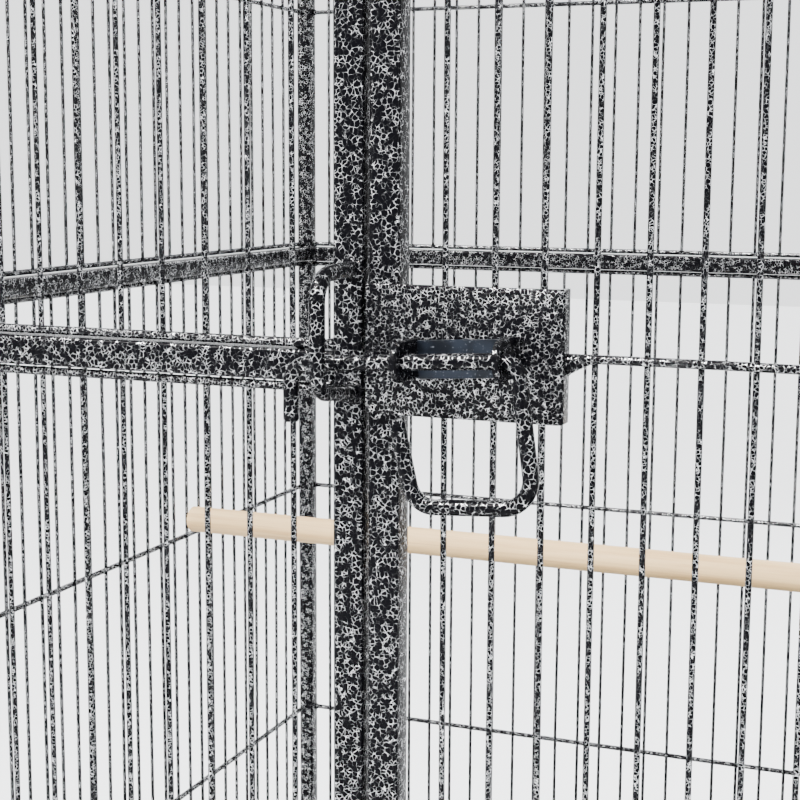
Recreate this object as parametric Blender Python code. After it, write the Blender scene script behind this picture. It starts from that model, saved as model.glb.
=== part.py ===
"""A flight-style bird cage on a rolling stand, as separate welded panels, tubes and fittings.

World frame: metres, +Z up, the front of the cage faces -Y, origin on the floor under the cage's centre.
"""

import math

import bmesh
import bpy
from mathutils import Matrix, Vector

# ---- driving dimensions, metres -------------------------------------------------------------
GAP = 0.0003                 # clearance between touching pieces
PITCH = 0.0156               # spacing of the vertical wires
WIRE = 0.0020                # thickness of a vertical wire
ROD = 0.0030                 # thickness of a cross rod
TUBE = 0.010                 # square tube of the cage's frame
HALF_WIDTH = 0.467
HALF_DEPTH = 0.292
STIFFENER_GAP = 0.1668       # spacing of the cross rods; each half of a wall has three bays
MID_Z = 1.020                # centre of the rail half way up the cage
BASE_Z = MID_Z - 3 * STIFFENER_GAP
TOP_Z = MID_Z + 3 * STIFFENER_GAP
FLOOR_RAIL_Z = 0.585         # rail above the tray and the grate
LATCH_POST_X = -0.1836       # left edge of the post that the door latches to
DOOR_GAP = 0.0020            # gap between a post and the door
DOOR_BOTTOM = 0.742
DOOR_TOP = 1.298
SHEET = 0.0012               # thickness of the skirts, the tray and the runners
STAND_TUBE = 0.020
STAND_WALL = 0.0012
LEG_BOTTOM = 0.074
SHELF_Z = 0.170
WHEEL_RADIUS = 0.025
WHEEL_WIDTH = 0.018
CASTER_TRAIL = 0.020
BOLT_RADIUS = 0.00245        # rod of the latch bolt and of its keeper

# ---- places worked out from them ------------------------------------------------------------
FRONT_Y = -HALF_DEPTH
INNER_X = HALF_WIDTH - TUBE
INNER_Y = HALF_DEPTH - TUBE
CAGE_BOTTOM = BASE_Z - TUBE / 2
CAGE_TOP = TOP_Z + TUBE / 2
POST_OUT_X = -LATCH_POST_X
POST_IN_X = POST_OUT_X - TUBE
DOOR_HALF = POST_IN_X - DOOR_GAP
LATCH_X = LATCH_POST_X + 0.00035
BOLT_Y = FRONT_Y - 0.0160
BOLT_Z = MID_Z + 0.0031      # height of the bolt's axis above LATCH_X
BOLT_RISE = 0.0593           # the bolt and its bracket slope up to the right by this much per metre
BOLT_TILT = math.atan(BOLT_RISE)
MESH_BOTTOM = FLOOR_RAIL_Z + TUBE / 2

COLOURS = {
    "hammertone": ((0.06, 0.06, 0.065, 1.0), 0.35, 0.6),
    "bare_steel": ((0.55, 0.55, 0.56, 1.0), 0.30, 1.0),
    "dark_steel": ((0.02, 0.024, 0.035, 1.0), 0.30, 0.4),
    "wood": ((0.78, 0.56, 0.35, 1.0), 0.60, 0.0),
    "black_plastic": ((0.02, 0.02, 0.02, 1.0), 0.45, 0.0),
    "cup_plastic": ((0.10, 0.10, 0.11, 1.0), 0.35, 0.0),
}


def clear_scene():
    for old in list(bpy.data.objects):
        bpy.data.objects.remove(old, do_unlink=True)


def material(name, part):
    """A Principled material of its own for one part."""
    colour, rough, metal = COLOURS[name]
    made = bpy.data.materials.new(part + "_" + name)
    made.use_nodes = True
    shader = made.node_tree.nodes["Principled BSDF"]
    shader.inputs["Base Color"].default_value = colour
    shader.inputs["Roughness"].default_value = rough
    shader.inputs["Metallic"].default_value = metal
    return made


def add_part(name, bm, finish, origin=(0.0, 0.0, 0.0), parent=None, smooth=False):
    """Turns a bmesh in world space into an object whose own origin is at origin."""
    bmesh.ops.recalc_face_normals(bm, faces=bm.faces)
    bmesh.ops.translate(bm, verts=bm.verts, vec=-Vector(origin))
    mesh = bpy.data.meshes.new(name)
    bm.to_mesh(mesh)
    bm.free()
    mesh.materials.append(material(finish, name))
    part = bpy.data.objects.new(name, mesh)
    bpy.context.scene.collection.objects.link(part)
    part.location = origin
    if smooth:
        mesh.shade_smooth()
        mesh.set_sharp_from_angle(angle=math.radians(40))
    if parent is not None:
        part.parent = parent
        part.location = Vector(origin) - parent.location
    return part


def pivot(name, place):
    """An empty on a joint's axis."""
    made = bpy.data.objects.new(name, None)
    bpy.context.scene.collection.objects.link(made)
    made.location = place
    return made


# ---- shape helpers --------------------------------------------------------------------------
def union_of_boxes(boxes):
    """One closed body that fills all of the axis-aligned boxes, each (low corner, high corner)."""
    lines = [sorted({round(corner[a], 6) for box in boxes for corner in box}) for a in range(3)]
    index = [{value: i for i, value in enumerate(axis)} for axis in lines]
    filled = set()
    for low, high in boxes:
        spans = [range(index[a][round(low[a], 6)], index[a][round(high[a], 6)]) for a in range(3)]
        filled.update((i, j, k) for i in spans[0] for j in spans[1] for k in spans[2])
    bm = bmesh.new()
    corners = {}

    def vertex(key):
        if key not in corners:
            corners[key] = bm.verts.new([lines[a][key[a]] for a in range(3)])
        return corners[key]

    square = ((0, 0), (1, 0), (1, 1), (0, 1))
    for cell in sorted(filled):
        for axis in range(3):
            for side in (0, 1):
                beside = list(cell)
                beside[axis] += 2 * side - 1
                if tuple(beside) in filled:
                    continue
                others = [a for a in range(3) if a != axis]
                loop = []
                for u, v in square:
                    key = list(cell)
                    key[axis] += side
                    key[others[0]] += u
                    key[others[1]] += v
                    loop.append(vertex(tuple(key)))
                bm.faces.new(loop)
    bmesh.ops.recalc_face_normals(bm, faces=bm.faces)
    bmesh.ops.dissolve_limit(bm, angle_limit=0.001, verts=bm.verts, edges=bm.edges)
    return bm


def centred(count, pitch, middle=0.0):
    """Evenly spaced places either side of a middle."""
    return [middle + (i - (count - 1) / 2) * pitch for i in range(count)]


def lathe(profile, centre, axis, sides):
    """Closed ring or solid turned from (radius, along) points round an axis through centre."""
    bm = bmesh.new()
    turn = Vector((0, 0, 1)).rotation_difference(Vector(axis)).to_matrix()
    rings = []
    for radius, along in profile:
        ring = []
        for s in range(sides):
            angle = 2 * math.pi * (s + 0.5) / sides
            spot = Vector((radius * math.cos(angle), radius * math.sin(angle), along))
            ring.append(bm.verts.new(turn @ spot + Vector(centre)))
        rings.append(ring)
    for a, b in zip(rings, rings[1:] + rings[:1]):
        for s in range(sides):
            t = (s + 1) % sides
            bm.faces.new((a[s], a[t], b[t], b[s]))
    return bm


def rod(start, end, radius, sides=12):
    """A straight round rod with flat ends."""
    start, end = Vector(start), Vector(end)
    bm = bmesh.new()
    turn = Vector((0, 0, 1)).rotation_difference(end - start).to_matrix()
    rings = []
    for centre in (start, end):
        ring = []
        for s in range(sides):
            angle = 2 * math.pi * (s + 0.5) / sides
            spot = Vector((radius * math.cos(angle), radius * math.sin(angle), 0))
            ring.append(bm.verts.new(turn @ spot + centre))
        rings.append(ring)
    for s in range(sides):
        t = (s + 1) % sides
        bm.faces.new((rings[0][s], rings[0][t], rings[1][t], rings[1][s]))
    bm.faces.new(rings[0])
    bm.faces.new(rings[1])
    return bm


def rounded_path(corners, radii, steps=4):
    """Points along straight runs; each inner corner is rounded to a radius of its own."""
    spots = [Vector(c) for c in corners]
    path = [spots[0]]
    for before, corner, after, radius in zip(spots, spots[1:], spots[2:], radii):
        back, ahead = (before - corner).normalized(), (after - corner).normalized()
        half = back.angle(ahead) / 2
        reach = radius / math.tan(half)
        centre = corner + (back + ahead).normalized() * radius / math.sin(half)
        first, last = corner + back * reach - centre, corner + ahead * reach - centre
        sweep = first.angle(last)
        for i in range(steps + 1):
            t = i / steps
            share = math.sin((1 - t) * sweep) * first + math.sin(t * sweep) * last
            path.append(centre + share / math.sin(sweep))
    path.append(spots[-1])
    return path


def bent_rod(path, radius, sides=8):
    """A round rod swept along a path of points, with flat ends."""
    bm = bmesh.new()
    rings = []
    normal = None
    for i, spot in enumerate(path):
        ahead = path[min(i + 1, len(path) - 1)] - path[max(i - 1, 0)]
        ahead.normalize()
        if normal is None:
            normal = ahead.orthogonal().normalized()
        normal = (normal - ahead * normal.dot(ahead)).normalized()
        across = ahead.cross(normal)
        ring = []
        for s in range(sides):
            angle = 2 * math.pi * (s + 0.5) / sides
            offset = radius * (math.cos(angle) * normal + math.sin(angle) * across)
            ring.append(bm.verts.new(spot + offset))
        rings.append(ring)
    for a, b in zip(rings, rings[1:]):
        for s in range(sides):
            t = (s + 1) % sides
            bm.faces.new((a[s], a[t], b[t], b[s]))
    bm.faces.new(rings[0])
    bm.faces.new(rings[-1])
    return bm


def prism(outline, low, high):
    """An outline of (y, z) points drawn out along X."""
    bm = bmesh.new()
    rings = [[bm.verts.new((x, y, z)) for y, z in outline] for x in (low, high)]
    for s in range(len(outline)):
        t = (s + 1) % len(outline)
        bm.faces.new((rings[0][s], rings[0][t], rings[1][t], rings[1][s]))
    bm.faces.new(rings[0])
    bm.faces.new(rings[1])
    return bm


def cut_with(part, bm, operation):
    """Cuts a part with a hidden body: DIFFERENCE takes the body away, INTERSECT keeps what is inside it."""
    bmesh.ops.recalc_face_normals(bm, faces=bm.faces)
    mesh = bpy.data.meshes.new(part.name + "_cut")
    bm.to_mesh(mesh)
    bm.free()
    cutter = bpy.data.objects.new(part.name + "_cutter", mesh)
    bpy.context.scene.collection.objects.link(cutter)
    cutter.hide_render = True
    cutter.display_type = "WIRE"
    cut = part.modifiers.new("cut_" + str(len(part.modifiers)), "BOOLEAN")
    cut.operation = operation
    cut.solver = "EXACT"
    cut.object = cutter


# ---- cage walls -----------------------------------------------------------------------------
SIDE_WIRES = 35
BACK_WIRES = 58
DOOR_WIRES = 20
FLOOR_WIRES = 57             # wires of the roof and of the grate
FRONT_SIDE_WIRES = 17        # wires on each side of the door
FIRST_WIRE = 0.0158          # from a door post's outer edge to the first wire beside it
FEEDER_WIRES = (6, 12)       # which wires of a side wall bound its feeder opening
ROOF_EDGE = 0.006


def wires(places, low, high, plane, along):
    """Boxes for upright wires; along is the axis that they are spaced on, plane is the wall's centre."""
    half = WIRE / 2
    made = []
    for place in places:
        if along == "x":
            made.append(((place - half, plane - half, low), (place + half, plane + half, high)))
        else:
            made.append(((plane - half, place - half, low), (plane + half, place + half, high)))
    return made


def side_wires():
    return centred(SIDE_WIRES, PITCH)


def feeder_wires():
    """The two wires that bound the feeder opening: five wires between them are cut short."""
    places = side_wires()
    return places[FEEDER_WIRES[0]], places[FEEDER_WIRES[1]]


def side_panel(name, side):
    """Left or right wall: two corner posts, four rails, upright wires and a sheet skirt beside the tray."""
    outer, inner = sorted((side * HALF_WIDTH, side * INNER_X))
    plane = side * (HALF_WIDTH - TUBE / 2)
    boxes = []
    for end in (-1, 1):
        y0, y1 = sorted((end * HALF_DEPTH, end * INNER_Y))
        boxes.append(((outer, y0, CAGE_BOTTOM), (inner, y1, CAGE_TOP)))
    for z in (BASE_Z, FLOOR_RAIL_Z, MID_Z, TOP_Z):
        boxes.append(((outer, -INNER_Y, z - TUBE / 2), (inner, INNER_Y, z + TUBE / 2)))
    half = SHEET / 2
    skirt_low, skirt_high = BASE_Z + TUBE / 2, FLOOR_RAIL_Z - TUBE / 2
    boxes.append(((plane - half, -INNER_Y, skirt_low), (plane + half, INNER_Y, skirt_high)))
    places = side_wires()
    first, last = feeder_wires()
    header = BASE_Z + STIFFENER_GAP
    cut = [y for y in places if first < y < last]
    whole = [y for y in places if y not in cut]
    boxes += wires(whole, MESH_BOTTOM, MID_Z - TUBE / 2, plane, "y")
    boxes += wires(cut, header + WIRE / 2, MID_Z - TUBE / 2, plane, "y")
    boxes += wires(places, MID_Z + TUBE / 2, TOP_Z - TUBE / 2, plane, "y")
    half = WIRE / 2
    boxes.append(((plane - half, first - half, header - half), (plane + half, last + half, header + half)))
    return add_part(name, union_of_boxes(boxes), "hammertone")


def back_panel():
    span = INNER_X - GAP
    y0, y1 = INNER_Y, HALF_DEPTH
    plane = HALF_DEPTH - TUBE / 2
    boxes = []
    for z in (BASE_Z, FLOOR_RAIL_Z, MID_Z, TOP_Z):
        boxes.append(((-span, y0, z - TUBE / 2), (span, y1, z + TUBE / 2)))
    half = SHEET / 2
    skirt_low, skirt_high = BASE_Z + TUBE / 2, FLOOR_RAIL_Z - TUBE / 2
    boxes.append(((-span, plane - half, skirt_low), (span, plane + half, skirt_high)))
    places = centred(BACK_WIRES, PITCH)
    boxes += wires(places, MESH_BOTTOM, MID_Z - TUBE / 2, plane, "x")
    boxes += wires(places, MID_Z + TUBE / 2, TOP_Z - TUBE / 2, plane, "x")
    return add_part("back_panel", union_of_boxes(boxes), "hammertone")


def front_side_panel(name, side):
    """Fixed front mesh beside the door; its inner stile is the post that the door hangs or latches on."""
    span = INNER_X - GAP
    y0, y1 = FRONT_Y, FRONT_Y + TUBE
    plane = FRONT_Y + TUBE / 2

    def across(a, b):
        return sorted((side * a, side * b))

    x0, x1 = across(POST_IN_X, POST_OUT_X)
    boxes = [((x0, y0, FLOOR_RAIL_Z - TUBE / 2), (x1, y1, CAGE_TOP))]
    r0, r1 = across(POST_OUT_X, span)
    for z in (FLOOR_RAIL_Z, MID_Z, TOP_Z):
        boxes.append(((r0, y0, z - TUBE / 2), (r1, y1, z + TUBE / 2)))
    first = POST_OUT_X + FIRST_WIRE
    places = [side * (first + i * PITCH) for i in range(FRONT_SIDE_WIRES)]
    boxes += wires(places, MESH_BOTTOM, MID_Z - TUBE / 2, plane, "x")
    boxes += wires(places, MID_Z + TUBE / 2, TOP_Z - TUBE / 2, plane, "x")
    return add_part(name, union_of_boxes(boxes), "hammertone")


def door_wires():
    return centred(DOOR_WIRES, PITCH)


def front_infill(name, low, high):
    """Fixed mesh between the two posts, below or above the door, with a rail along each edge."""
    span = POST_IN_X - GAP
    plane = FRONT_Y + TUBE / 2
    boxes = []
    for z in (low, high - TUBE):
        boxes.append(((-span, FRONT_Y, z), (span, FRONT_Y + TUBE, z + TUBE)))
    boxes += wires(door_wires(), low + TUBE, high - TUBE, plane, "x")
    return add_part(name, union_of_boxes(boxes), "hammertone")


def roof_panel():
    """Flat roof between the four walls' top rails: an edge rod all round and wires from front to back."""
    span_x, span_y = INNER_X - GAP, INNER_Y - GAP
    half = TUBE / 2
    edge = ROOF_EDGE
    z0, z1 = TOP_Z - half, TOP_Z + half
    boxes = [
        ((-span_x, -span_y, z0), (span_x, -span_y + edge, z1)),
        ((-span_x, span_y - edge, z0), (span_x, span_y, z1)),
        ((-span_x, -span_y + edge, z0), (-span_x + edge, span_y - edge, z1)),
        ((span_x - edge, -span_y + edge, z0), (span_x, span_y - edge, z1)),
    ]
    low, high = TOP_Z - WIRE / 2, TOP_Z + WIRE / 2
    for x in centred(FLOOR_WIRES, PITCH):
        boxes.append(((x - WIRE / 2, -span_y + edge, low), (x + WIRE / 2, span_y - edge, high)))
    return add_part("roof_panel", union_of_boxes(boxes), "hammertone")


def base_front_rail():
    span = INNER_X - GAP
    box = ((-span, FRONT_Y, BASE_Z - TUBE / 2), (span, FRONT_Y + TUBE, BASE_Z + TUBE / 2))
    return add_part("base_front_rail", union_of_boxes([box]), "hammertone")


# ---- tray, grate and their runners ----------------------------------------------------------
TRAY_BOTTOM = 0.5290
TRAY_TOP = 0.5580
TRAY_HALF_WIDTH = 0.4420
GRATE_HALF_WIDTH = 0.4510
TRAY_REACH = 0.020           # from the wall to the edge of the tray's ledge
GRATE_REACH = 0.013
STRIP_BELOW = 0.002          # the runner's strip starts this far above the base rail's centre
STRIP_ABOVE = 0.008
DRAWER_BACK = INNER_Y - 0.004
PULL_HALF_WIDTH = 0.045
PULL_DEPTH = 0.012
PULL_DROP = 0.008
GRATE_Z = 0.5665
GRATE_ROD = 0.0040
DRAWER_FRONT = FRONT_Y + 0.0004


def runner(name, side):
    """Folded strip inside a side wall with a ledge for the tray and one for the grate."""
    wall0, wall1 = sorted((side * (INNER_X - GAP), side * (INNER_X - GAP - SHEET)))
    y0, y1 = -INNER_Y + GAP, INNER_Y - GAP
    boxes = [((wall0, y0, BASE_Z + STRIP_BELOW), (wall1, y1, GRATE_Z + STRIP_ABOVE))]
    for top, reach in ((TRAY_BOTTOM - GAP, TRAY_REACH), (GRATE_Z - GRATE_ROD / 2 - GAP, GRATE_REACH)):
        l0, l1 = sorted((side * (INNER_X - GAP - SHEET), side * (INNER_X - GAP - reach)))
        boxes.append(((l0, y0, top - SHEET), (l1, y1, top)))
    return add_part(name, union_of_boxes(boxes), "hammertone")


def tray():
    """Shallow sheet tray that slides out forwards, with a folded front and a pull lip."""
    half = TRAY_HALF_WIDTH
    y0, y1 = DRAWER_FRONT, DRAWER_BACK
    t = SHEET
    pull = y0 - PULL_DEPTH
    lip = TRAY_TOP
    boxes = [
        ((-half, y0, TRAY_BOTTOM), (half, y1, TRAY_BOTTOM + t)),
        ((-half, y0, TRAY_BOTTOM + t), (-half + t, y1, lip)),
        ((half - t, y0, TRAY_BOTTOM + t), (half, y1, lip)),
        ((-half + t, y1 - t, TRAY_BOTTOM + t), (half - t, y1, lip)),
        ((-half + t, y0, TRAY_BOTTOM + t), (half - t, y0 + t, lip)),
        ((-PULL_HALF_WIDTH, pull, lip - t), (PULL_HALF_WIDTH, y0, lip)),
        ((-PULL_HALF_WIDTH, pull, lip - PULL_DROP), (PULL_HALF_WIDTH, pull + t, lip - t)),
    ]
    return add_part("slide_out_tray", union_of_boxes(boxes), "hammertone", origin=(0, y0, TRAY_BOTTOM))


def grate():
    """Wire floor that slides out above the tray."""
    half = GRATE_HALF_WIDTH
    y0, y1 = DRAWER_FRONT, DRAWER_BACK
    r = GRATE_ROD
    pull, hand = y0 - PULL_DEPTH, PULL_HALF_WIDTH
    z0, z1 = GRATE_Z - r / 2, GRATE_Z + r / 2
    boxes = [
        ((-half, y0, z0), (half, y0 + r, z1)),
        ((-half, y1 - r, z0), (half, y1, z1)),
        ((-half, y0 + r, z0), (-half + r, y1 - r, z1)),
        ((half - r, y0 + r, z0), (half, y1 - r, z1)),
        ((-hand, pull, z0), (r - hand, y0, z1)),
        ((hand - r, pull, z0), (hand, y0, z1)),
        ((r - hand, pull, z0), (hand - r, pull + r, z1)),
    ]
    low, high = GRATE_Z - WIRE / 2, GRATE_Z + WIRE / 2
    for x in centred(FLOOR_WIRES, PITCH):
        boxes.append(((x - WIRE / 2, y0 + r, low), (x + WIRE / 2, y1 - r, high)))
    return add_part("slide_out_grate", union_of_boxes(boxes), "hammertone", origin=(0, y0, GRATE_Z))


# ---- door and latch -------------------------------------------------------------------------
HINGE_X = (DOOR_HALF + POST_IN_X) / 2
KNUCKLE_RADIUS = 0.0034
HINGE_PIN_RADIUS = 0.0015
KNUCKLE_LENGTH = 0.014
PIN_BEYOND = 0.003
HINGE_Y = FRONT_Y - KNUCKLE_RADIUS - GAP
HINGE_HEIGHTS = {"lower": 0.850, "upper": 1.190}
PLATE_RIGHT = LATCH_X + 0.0740
PLATE_TOP = MID_Z + 0.0266
PLATE_BOTTOM = MID_Z - 0.0134
PLATE_THICK = 0.0015
FLANGE_BACK = FRONT_Y + 0.0050
DOOR_ROD_Z = MID_Z + 0.0062
BRACKET_LEFT = LATCH_X + 0.0274
BRACKET_RIGHT = LATCH_X + 0.0606
BRACKET_WEB = 0.0015
EAR = 0.0020
EAR_NOSE = 0.0061            # radius of an ear's rounded front, and half of the bracket's height
BOLT_BENDS = (0.0060, 0.0045, 0.0085, 0.0075)    # radii of the hook and of the handle
HOOK = (-0.0068, -0.0149)    # lower end of the hook, from LATCH_X and MID_Z
HANDLE = ((0.0645, 0.0069), (0.0704, -0.0358), (0.0333, -0.0380), (0.0274, -0.0121))
KEEPER_X = LATCH_X + 0.0066
KEEPER_BRIDGE_Y = FRONT_Y - 0.0265
KEEPER_TOP = (0.0308, 0.0301)     # heights of the upper leg above MID_Z, at the post and at the bridge
KEEPER_LOW = (-0.0072, -0.0044)
KEEPER_BEND = 0.0075


def door_panel(hinge):
    """Door: square tube frame, upright wires and one cross rod at the height of the latch."""
    plane = FRONT_Y + TUBE / 2
    y0, y1 = FRONT_Y, FRONT_Y + TUBE
    boxes = []
    for side in (-1, 1):
        x0, x1 = sorted((side * DOOR_HALF, side * (DOOR_HALF - TUBE)))
        boxes.append(((x0, y0, DOOR_BOTTOM), (x1, y1, DOOR_TOP)))
    inner = DOOR_HALF - TUBE
    for z in (DOOR_BOTTOM, DOOR_TOP - TUBE):
        boxes.append(((-inner, y0, z), (inner, y1, z + TUBE)))
    boxes += wires(door_wires(), DOOR_BOTTOM + TUBE, DOOR_TOP - TUBE, plane, "x")
    low, high = DOOR_ROD_Z - ROD / 2, DOOR_ROD_Z + ROD / 2
    boxes.append(((PLATE_RIGHT + GAP, plane - WIRE / 2, low), (inner, plane + WIRE / 2, high)))
    return add_part("door_panel", union_of_boxes(boxes), "hammertone", (HINGE_X, HINGE_Y, MID_Z), hinge)


def latch_plate(hinge):
    """Flat plate over the door's stile; its right edge is folded back to meet the cross rod."""
    front = FRONT_Y - GAP - PLATE_THICK
    back = FRONT_Y - GAP
    boxes = [
        ((-DOOR_HALF, front, PLATE_BOTTOM), (PLATE_RIGHT - PLATE_THICK, back, PLATE_TOP)),
        ((PLATE_RIGHT - PLATE_THICK, front, PLATE_BOTTOM), (PLATE_RIGHT, FLANGE_BACK, PLATE_TOP)),
    ]
    return add_part("latch_plate", union_of_boxes(boxes), "hammertone", (HINGE_X, HINGE_Y, MID_Z), hinge)


def tilted(bm):
    """Turns a body built square to the frame so that it follows the bolt's slope."""
    middle = (BRACKET_LEFT + BRACKET_RIGHT) / 2
    turn = Matrix.Rotation(-BOLT_TILT, 3, "Y")
    centre = (middle, BOLT_Y, bolt_height(middle))
    bmesh.ops.rotate(bm, verts=bm.verts, cent=centre, matrix=turn)
    return bm


def bolt_height(x):
    return BOLT_Z + (x - LATCH_X) * BOLT_RISE


def latch_bracket(hinge):
    """Channel on the plate whose two drilled ears, rounded at the front, carry the bolt."""
    back = FRONT_Y - 2 * GAP - PLATE_THICK
    front = BOLT_Y - EAR_NOSE - BRACKET_WEB
    middle = bolt_height((BRACKET_LEFT + BRACKET_RIGHT) / 2)
    low, high = middle - EAR_NOSE - GAP, middle + EAR_NOSE + GAP
    boxes = [
        ((BRACKET_LEFT, back - BRACKET_WEB, low), (BRACKET_RIGHT, back, high)),
        ((BRACKET_LEFT, front, low), (BRACKET_LEFT + EAR, back - BRACKET_WEB, high)),
        ((BRACKET_RIGHT - EAR, front, low), (BRACKET_RIGHT, back - BRACKET_WEB, high)),
    ]
    body = tilted(union_of_boxes(boxes))
    made = add_part("latch_bracket", body, "dark_steel", (HINGE_X, HINGE_Y, MID_Z), hinge)
    beyond = 2 * EAR
    left, right = BRACKET_LEFT - beyond, BRACKET_RIGHT + beyond
    outline = [(FRONT_Y, middle + EAR_NOSE)]
    steps = 12
    for i in range(steps + 1):
        angle = math.pi * i / steps
        outline.append((BOLT_Y - EAR_NOSE * math.sin(angle), middle + EAR_NOSE * math.cos(angle)))
    outline.append((FRONT_Y, middle - EAR_NOSE))
    cut_with(made, tilted(prism(outline, left, right)), "INTERSECT")
    bore = rod((left, BOLT_Y, middle), (right, BOLT_Y, middle), BOLT_RADIUS + 2 * GAP, 16)
    cut_with(made, tilted(bore), "DIFFERENCE")
    return made


def latch_bolt(hinge):
    """One bent rod: a short hook at the left, the bolt itself and the loop that is its handle."""
    hook_x = LATCH_X + HOOK[0]
    corners = [(hook_x, BOLT_Y, MID_Z + HOOK[1]), (hook_x, BOLT_Y, bolt_height(hook_x))]
    corners += [(LATCH_X + x, BOLT_Y, MID_Z + z) for x, z in HANDLE]
    made = bent_rod(rounded_path(corners, BOLT_BENDS, steps=3), BOLT_RADIUS)
    turn = pivot("bolt_turn_axis", Vector((LATCH_X, BOLT_Y, BOLT_Z)) - hinge.location)
    turn.parent = hinge
    bpy.context.view_layer.update()
    part = add_part("latch_bolt", made, "hammertone", (LATCH_X, BOLT_Y, BOLT_Z), smooth=True)
    part.parent = turn
    part.location = (0, 0, 0)
    return part


def keeper_staple():
    """U of round rod welded to the post; the bolt passes behind its bridge."""
    root = FRONT_Y - GAP
    corners = [
        (KEEPER_X, root, MID_Z + KEEPER_TOP[0]),
        (KEEPER_X, KEEPER_BRIDGE_Y, MID_Z + KEEPER_TOP[1]),
        (KEEPER_X, KEEPER_BRIDGE_Y, MID_Z + KEEPER_LOW[1]),
        (KEEPER_X, root, MID_Z + KEEPER_LOW[0]),
    ]
    made = bent_rod(rounded_path(corners, (KEEPER_BEND, KEEPER_BEND)), BOLT_RADIUS)
    return add_part("keeper_staple", made, "hammertone", smooth=True)


def hinges(hinge):
    """Two pin hinges: a knuckle on the post, a knuckle on the door and a pin through both."""
    length = KNUCKLE_LENGTH
    bore = HINGE_PIN_RADIUS + GAP
    for name, z in HINGE_HEIGHTS.items():
        for owner, low, parent in (("post", z - length - GAP / 2, None), ("door", z + GAP / 2, hinge)):
            profile = [(KNUCKLE_RADIUS, 0), (KNUCKLE_RADIUS, length), (bore, length), (bore, 0)]
            centre = (HINGE_X, HINGE_Y, low)
            made = lathe(profile, centre, (0, 0, 1), 12)
            add_part("hinge_" + name + "_" + owner + "_knuckle", made, "hammertone", centre, parent, True)
        foot = z - length - PIN_BEYOND
        head = z + length + PIN_BEYOND
        pin = rod((HINGE_X, HINGE_Y, foot), (HINGE_X, HINGE_Y, head), HINGE_PIN_RADIUS, 12)
        add_part("hinge_" + name + "_pin", pin, "bare_steel", (HINGE_X, HINGE_Y, foot), None, True)


# ---- feeders and perches --------------------------------------------------------------------
CUP_DEPTH = 0.060
CUP_WALL = 0.0022
CUP_HALF_WIDTH = 0.042
CUP_HEIGHT = 0.052
CUP_OFF_WALL = 0.0008
HOOK_HALF_WIDTH = 0.030
HOOK_REACH = 0.007
GATE_OVERLAP = 0.006
GATE_DROP = 0.002


def feeder_door(name, side):
    """Small lift-up gate outside the wall, over the feeder opening."""
    first, last = feeder_wires()
    out0, out1 = sorted((side * (HALF_WIDTH + GAP), side * (HALF_WIDTH + GAP + ROD)))
    plane = (out0 + out1) / 2
    low, high = FLOOR_RAIL_Z - GATE_DROP, BASE_Z + STIFFENER_GAP + GATE_OVERLAP
    y0, y1 = first - GATE_OVERLAP, last + GATE_OVERLAP
    boxes = [
        ((out0, y0, low), (out1, y1, low + ROD)),
        ((out0, y0, high - ROD), (out1, y1, high)),
        ((out0, y0, low + ROD), (out1, y0 + ROD, high - ROD)),
        ((out0, y1 - ROD, low + ROD), (out1, y1, high - ROD)),
    ]
    inside = [y for y in side_wires() if first < y < last]
    boxes += wires(inside, low + ROD, high - ROD, plane, "y")
    return add_part(name, union_of_boxes(boxes), "hammertone", origin=(plane, (y0 + y1) / 2, low))


def feeder_cup(name, side):
    """Open plastic cup that hooks over the floor rail inside the feeder opening."""
    first, last = feeder_wires()
    middle = (first + last) / 2
    y0, y1 = middle - CUP_HALF_WIDTH, middle + CUP_HALF_WIDTH
    low, high = MESH_BOTTOM + GAP, MESH_BOTTOM + CUP_HEIGHT
    wall = INNER_X - CUP_OFF_WALL

    def box(a, b, ya, yb, za, zb):
        xa, xb = sorted((side * a, side * b))
        return ((xa, ya, za), (xb, yb, zb))

    t = CUP_WALL
    deep = wall - CUP_DEPTH
    boxes = [
        box(deep, wall, y0, y1, low, low + t),
        box(deep, deep + t, y0, y1, low + t, high),
        box(wall - t, wall, y0, y1, low + t, high),
        box(deep + t, wall - t, y0, y0 + t, low + t, high),
        box(deep + t, wall - t, y1 - t, y1, low + t, high),
        box(wall, wall + HOOK_REACH, middle - HOOK_HALF_WIDTH, middle + HOOK_HALF_WIDTH, low, low + t),
    ]
    return add_part(name, union_of_boxes(boxes), "cup_plastic", origin=(side * wall, middle, low))


PERCH_RADIUS = 0.008
PERCHES = {"perch_lower": (0.114, MID_Z - 0.1563), "perch_upper": (-0.060, MID_Z + 0.3440)}


def perches():
    half = HALF_WIDTH - TUBE / 2 - WIRE / 2 - GAP
    for name, (y, z) in PERCHES.items():
        made = rod((-half, y, z), (half, y, z), PERCH_RADIUS, 16)
        add_part(name, made, "wood", (0, y, z), None, True)


# ---- stand ----------------------------------------------------------------------------------
LEG_X = HALF_WIDTH - STAND_TUBE / 2
LEG_Y = HALF_DEPTH - STAND_TUBE / 2
STAND_TOP = CAGE_BOTTOM - GAP
SHELF_EDGE = 0.012
SHELF_INSET = 0.002
SHELF_WIRES = 28
SHELF_WIRE_DEPTH = 0.001


def square_tube(start, end, axis, size=STAND_TUBE, wall=STAND_WALL):
    """Hollow square tube with open ends, from start to end along an axis (0, 1 or 2)."""
    u, v = [a for a in range(3) if a != axis]
    half = size / 2
    boxes = []
    for a0, a1, b0, b1 in (
        (-half, -half + wall, -half, half),
        (half - wall, half, -half, half),
        (-half + wall, half - wall, -half, -half + wall),
        (-half + wall, half - wall, half - wall, half),
    ):
        low, high = list(start), list(end)
        low[u], high[u] = start[u] + a0, start[u] + a1
        low[v], high[v] = start[v] + b0, start[v] + b1
        boxes.append((tuple(low), tuple(high)))
    return union_of_boxes(boxes)


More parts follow.
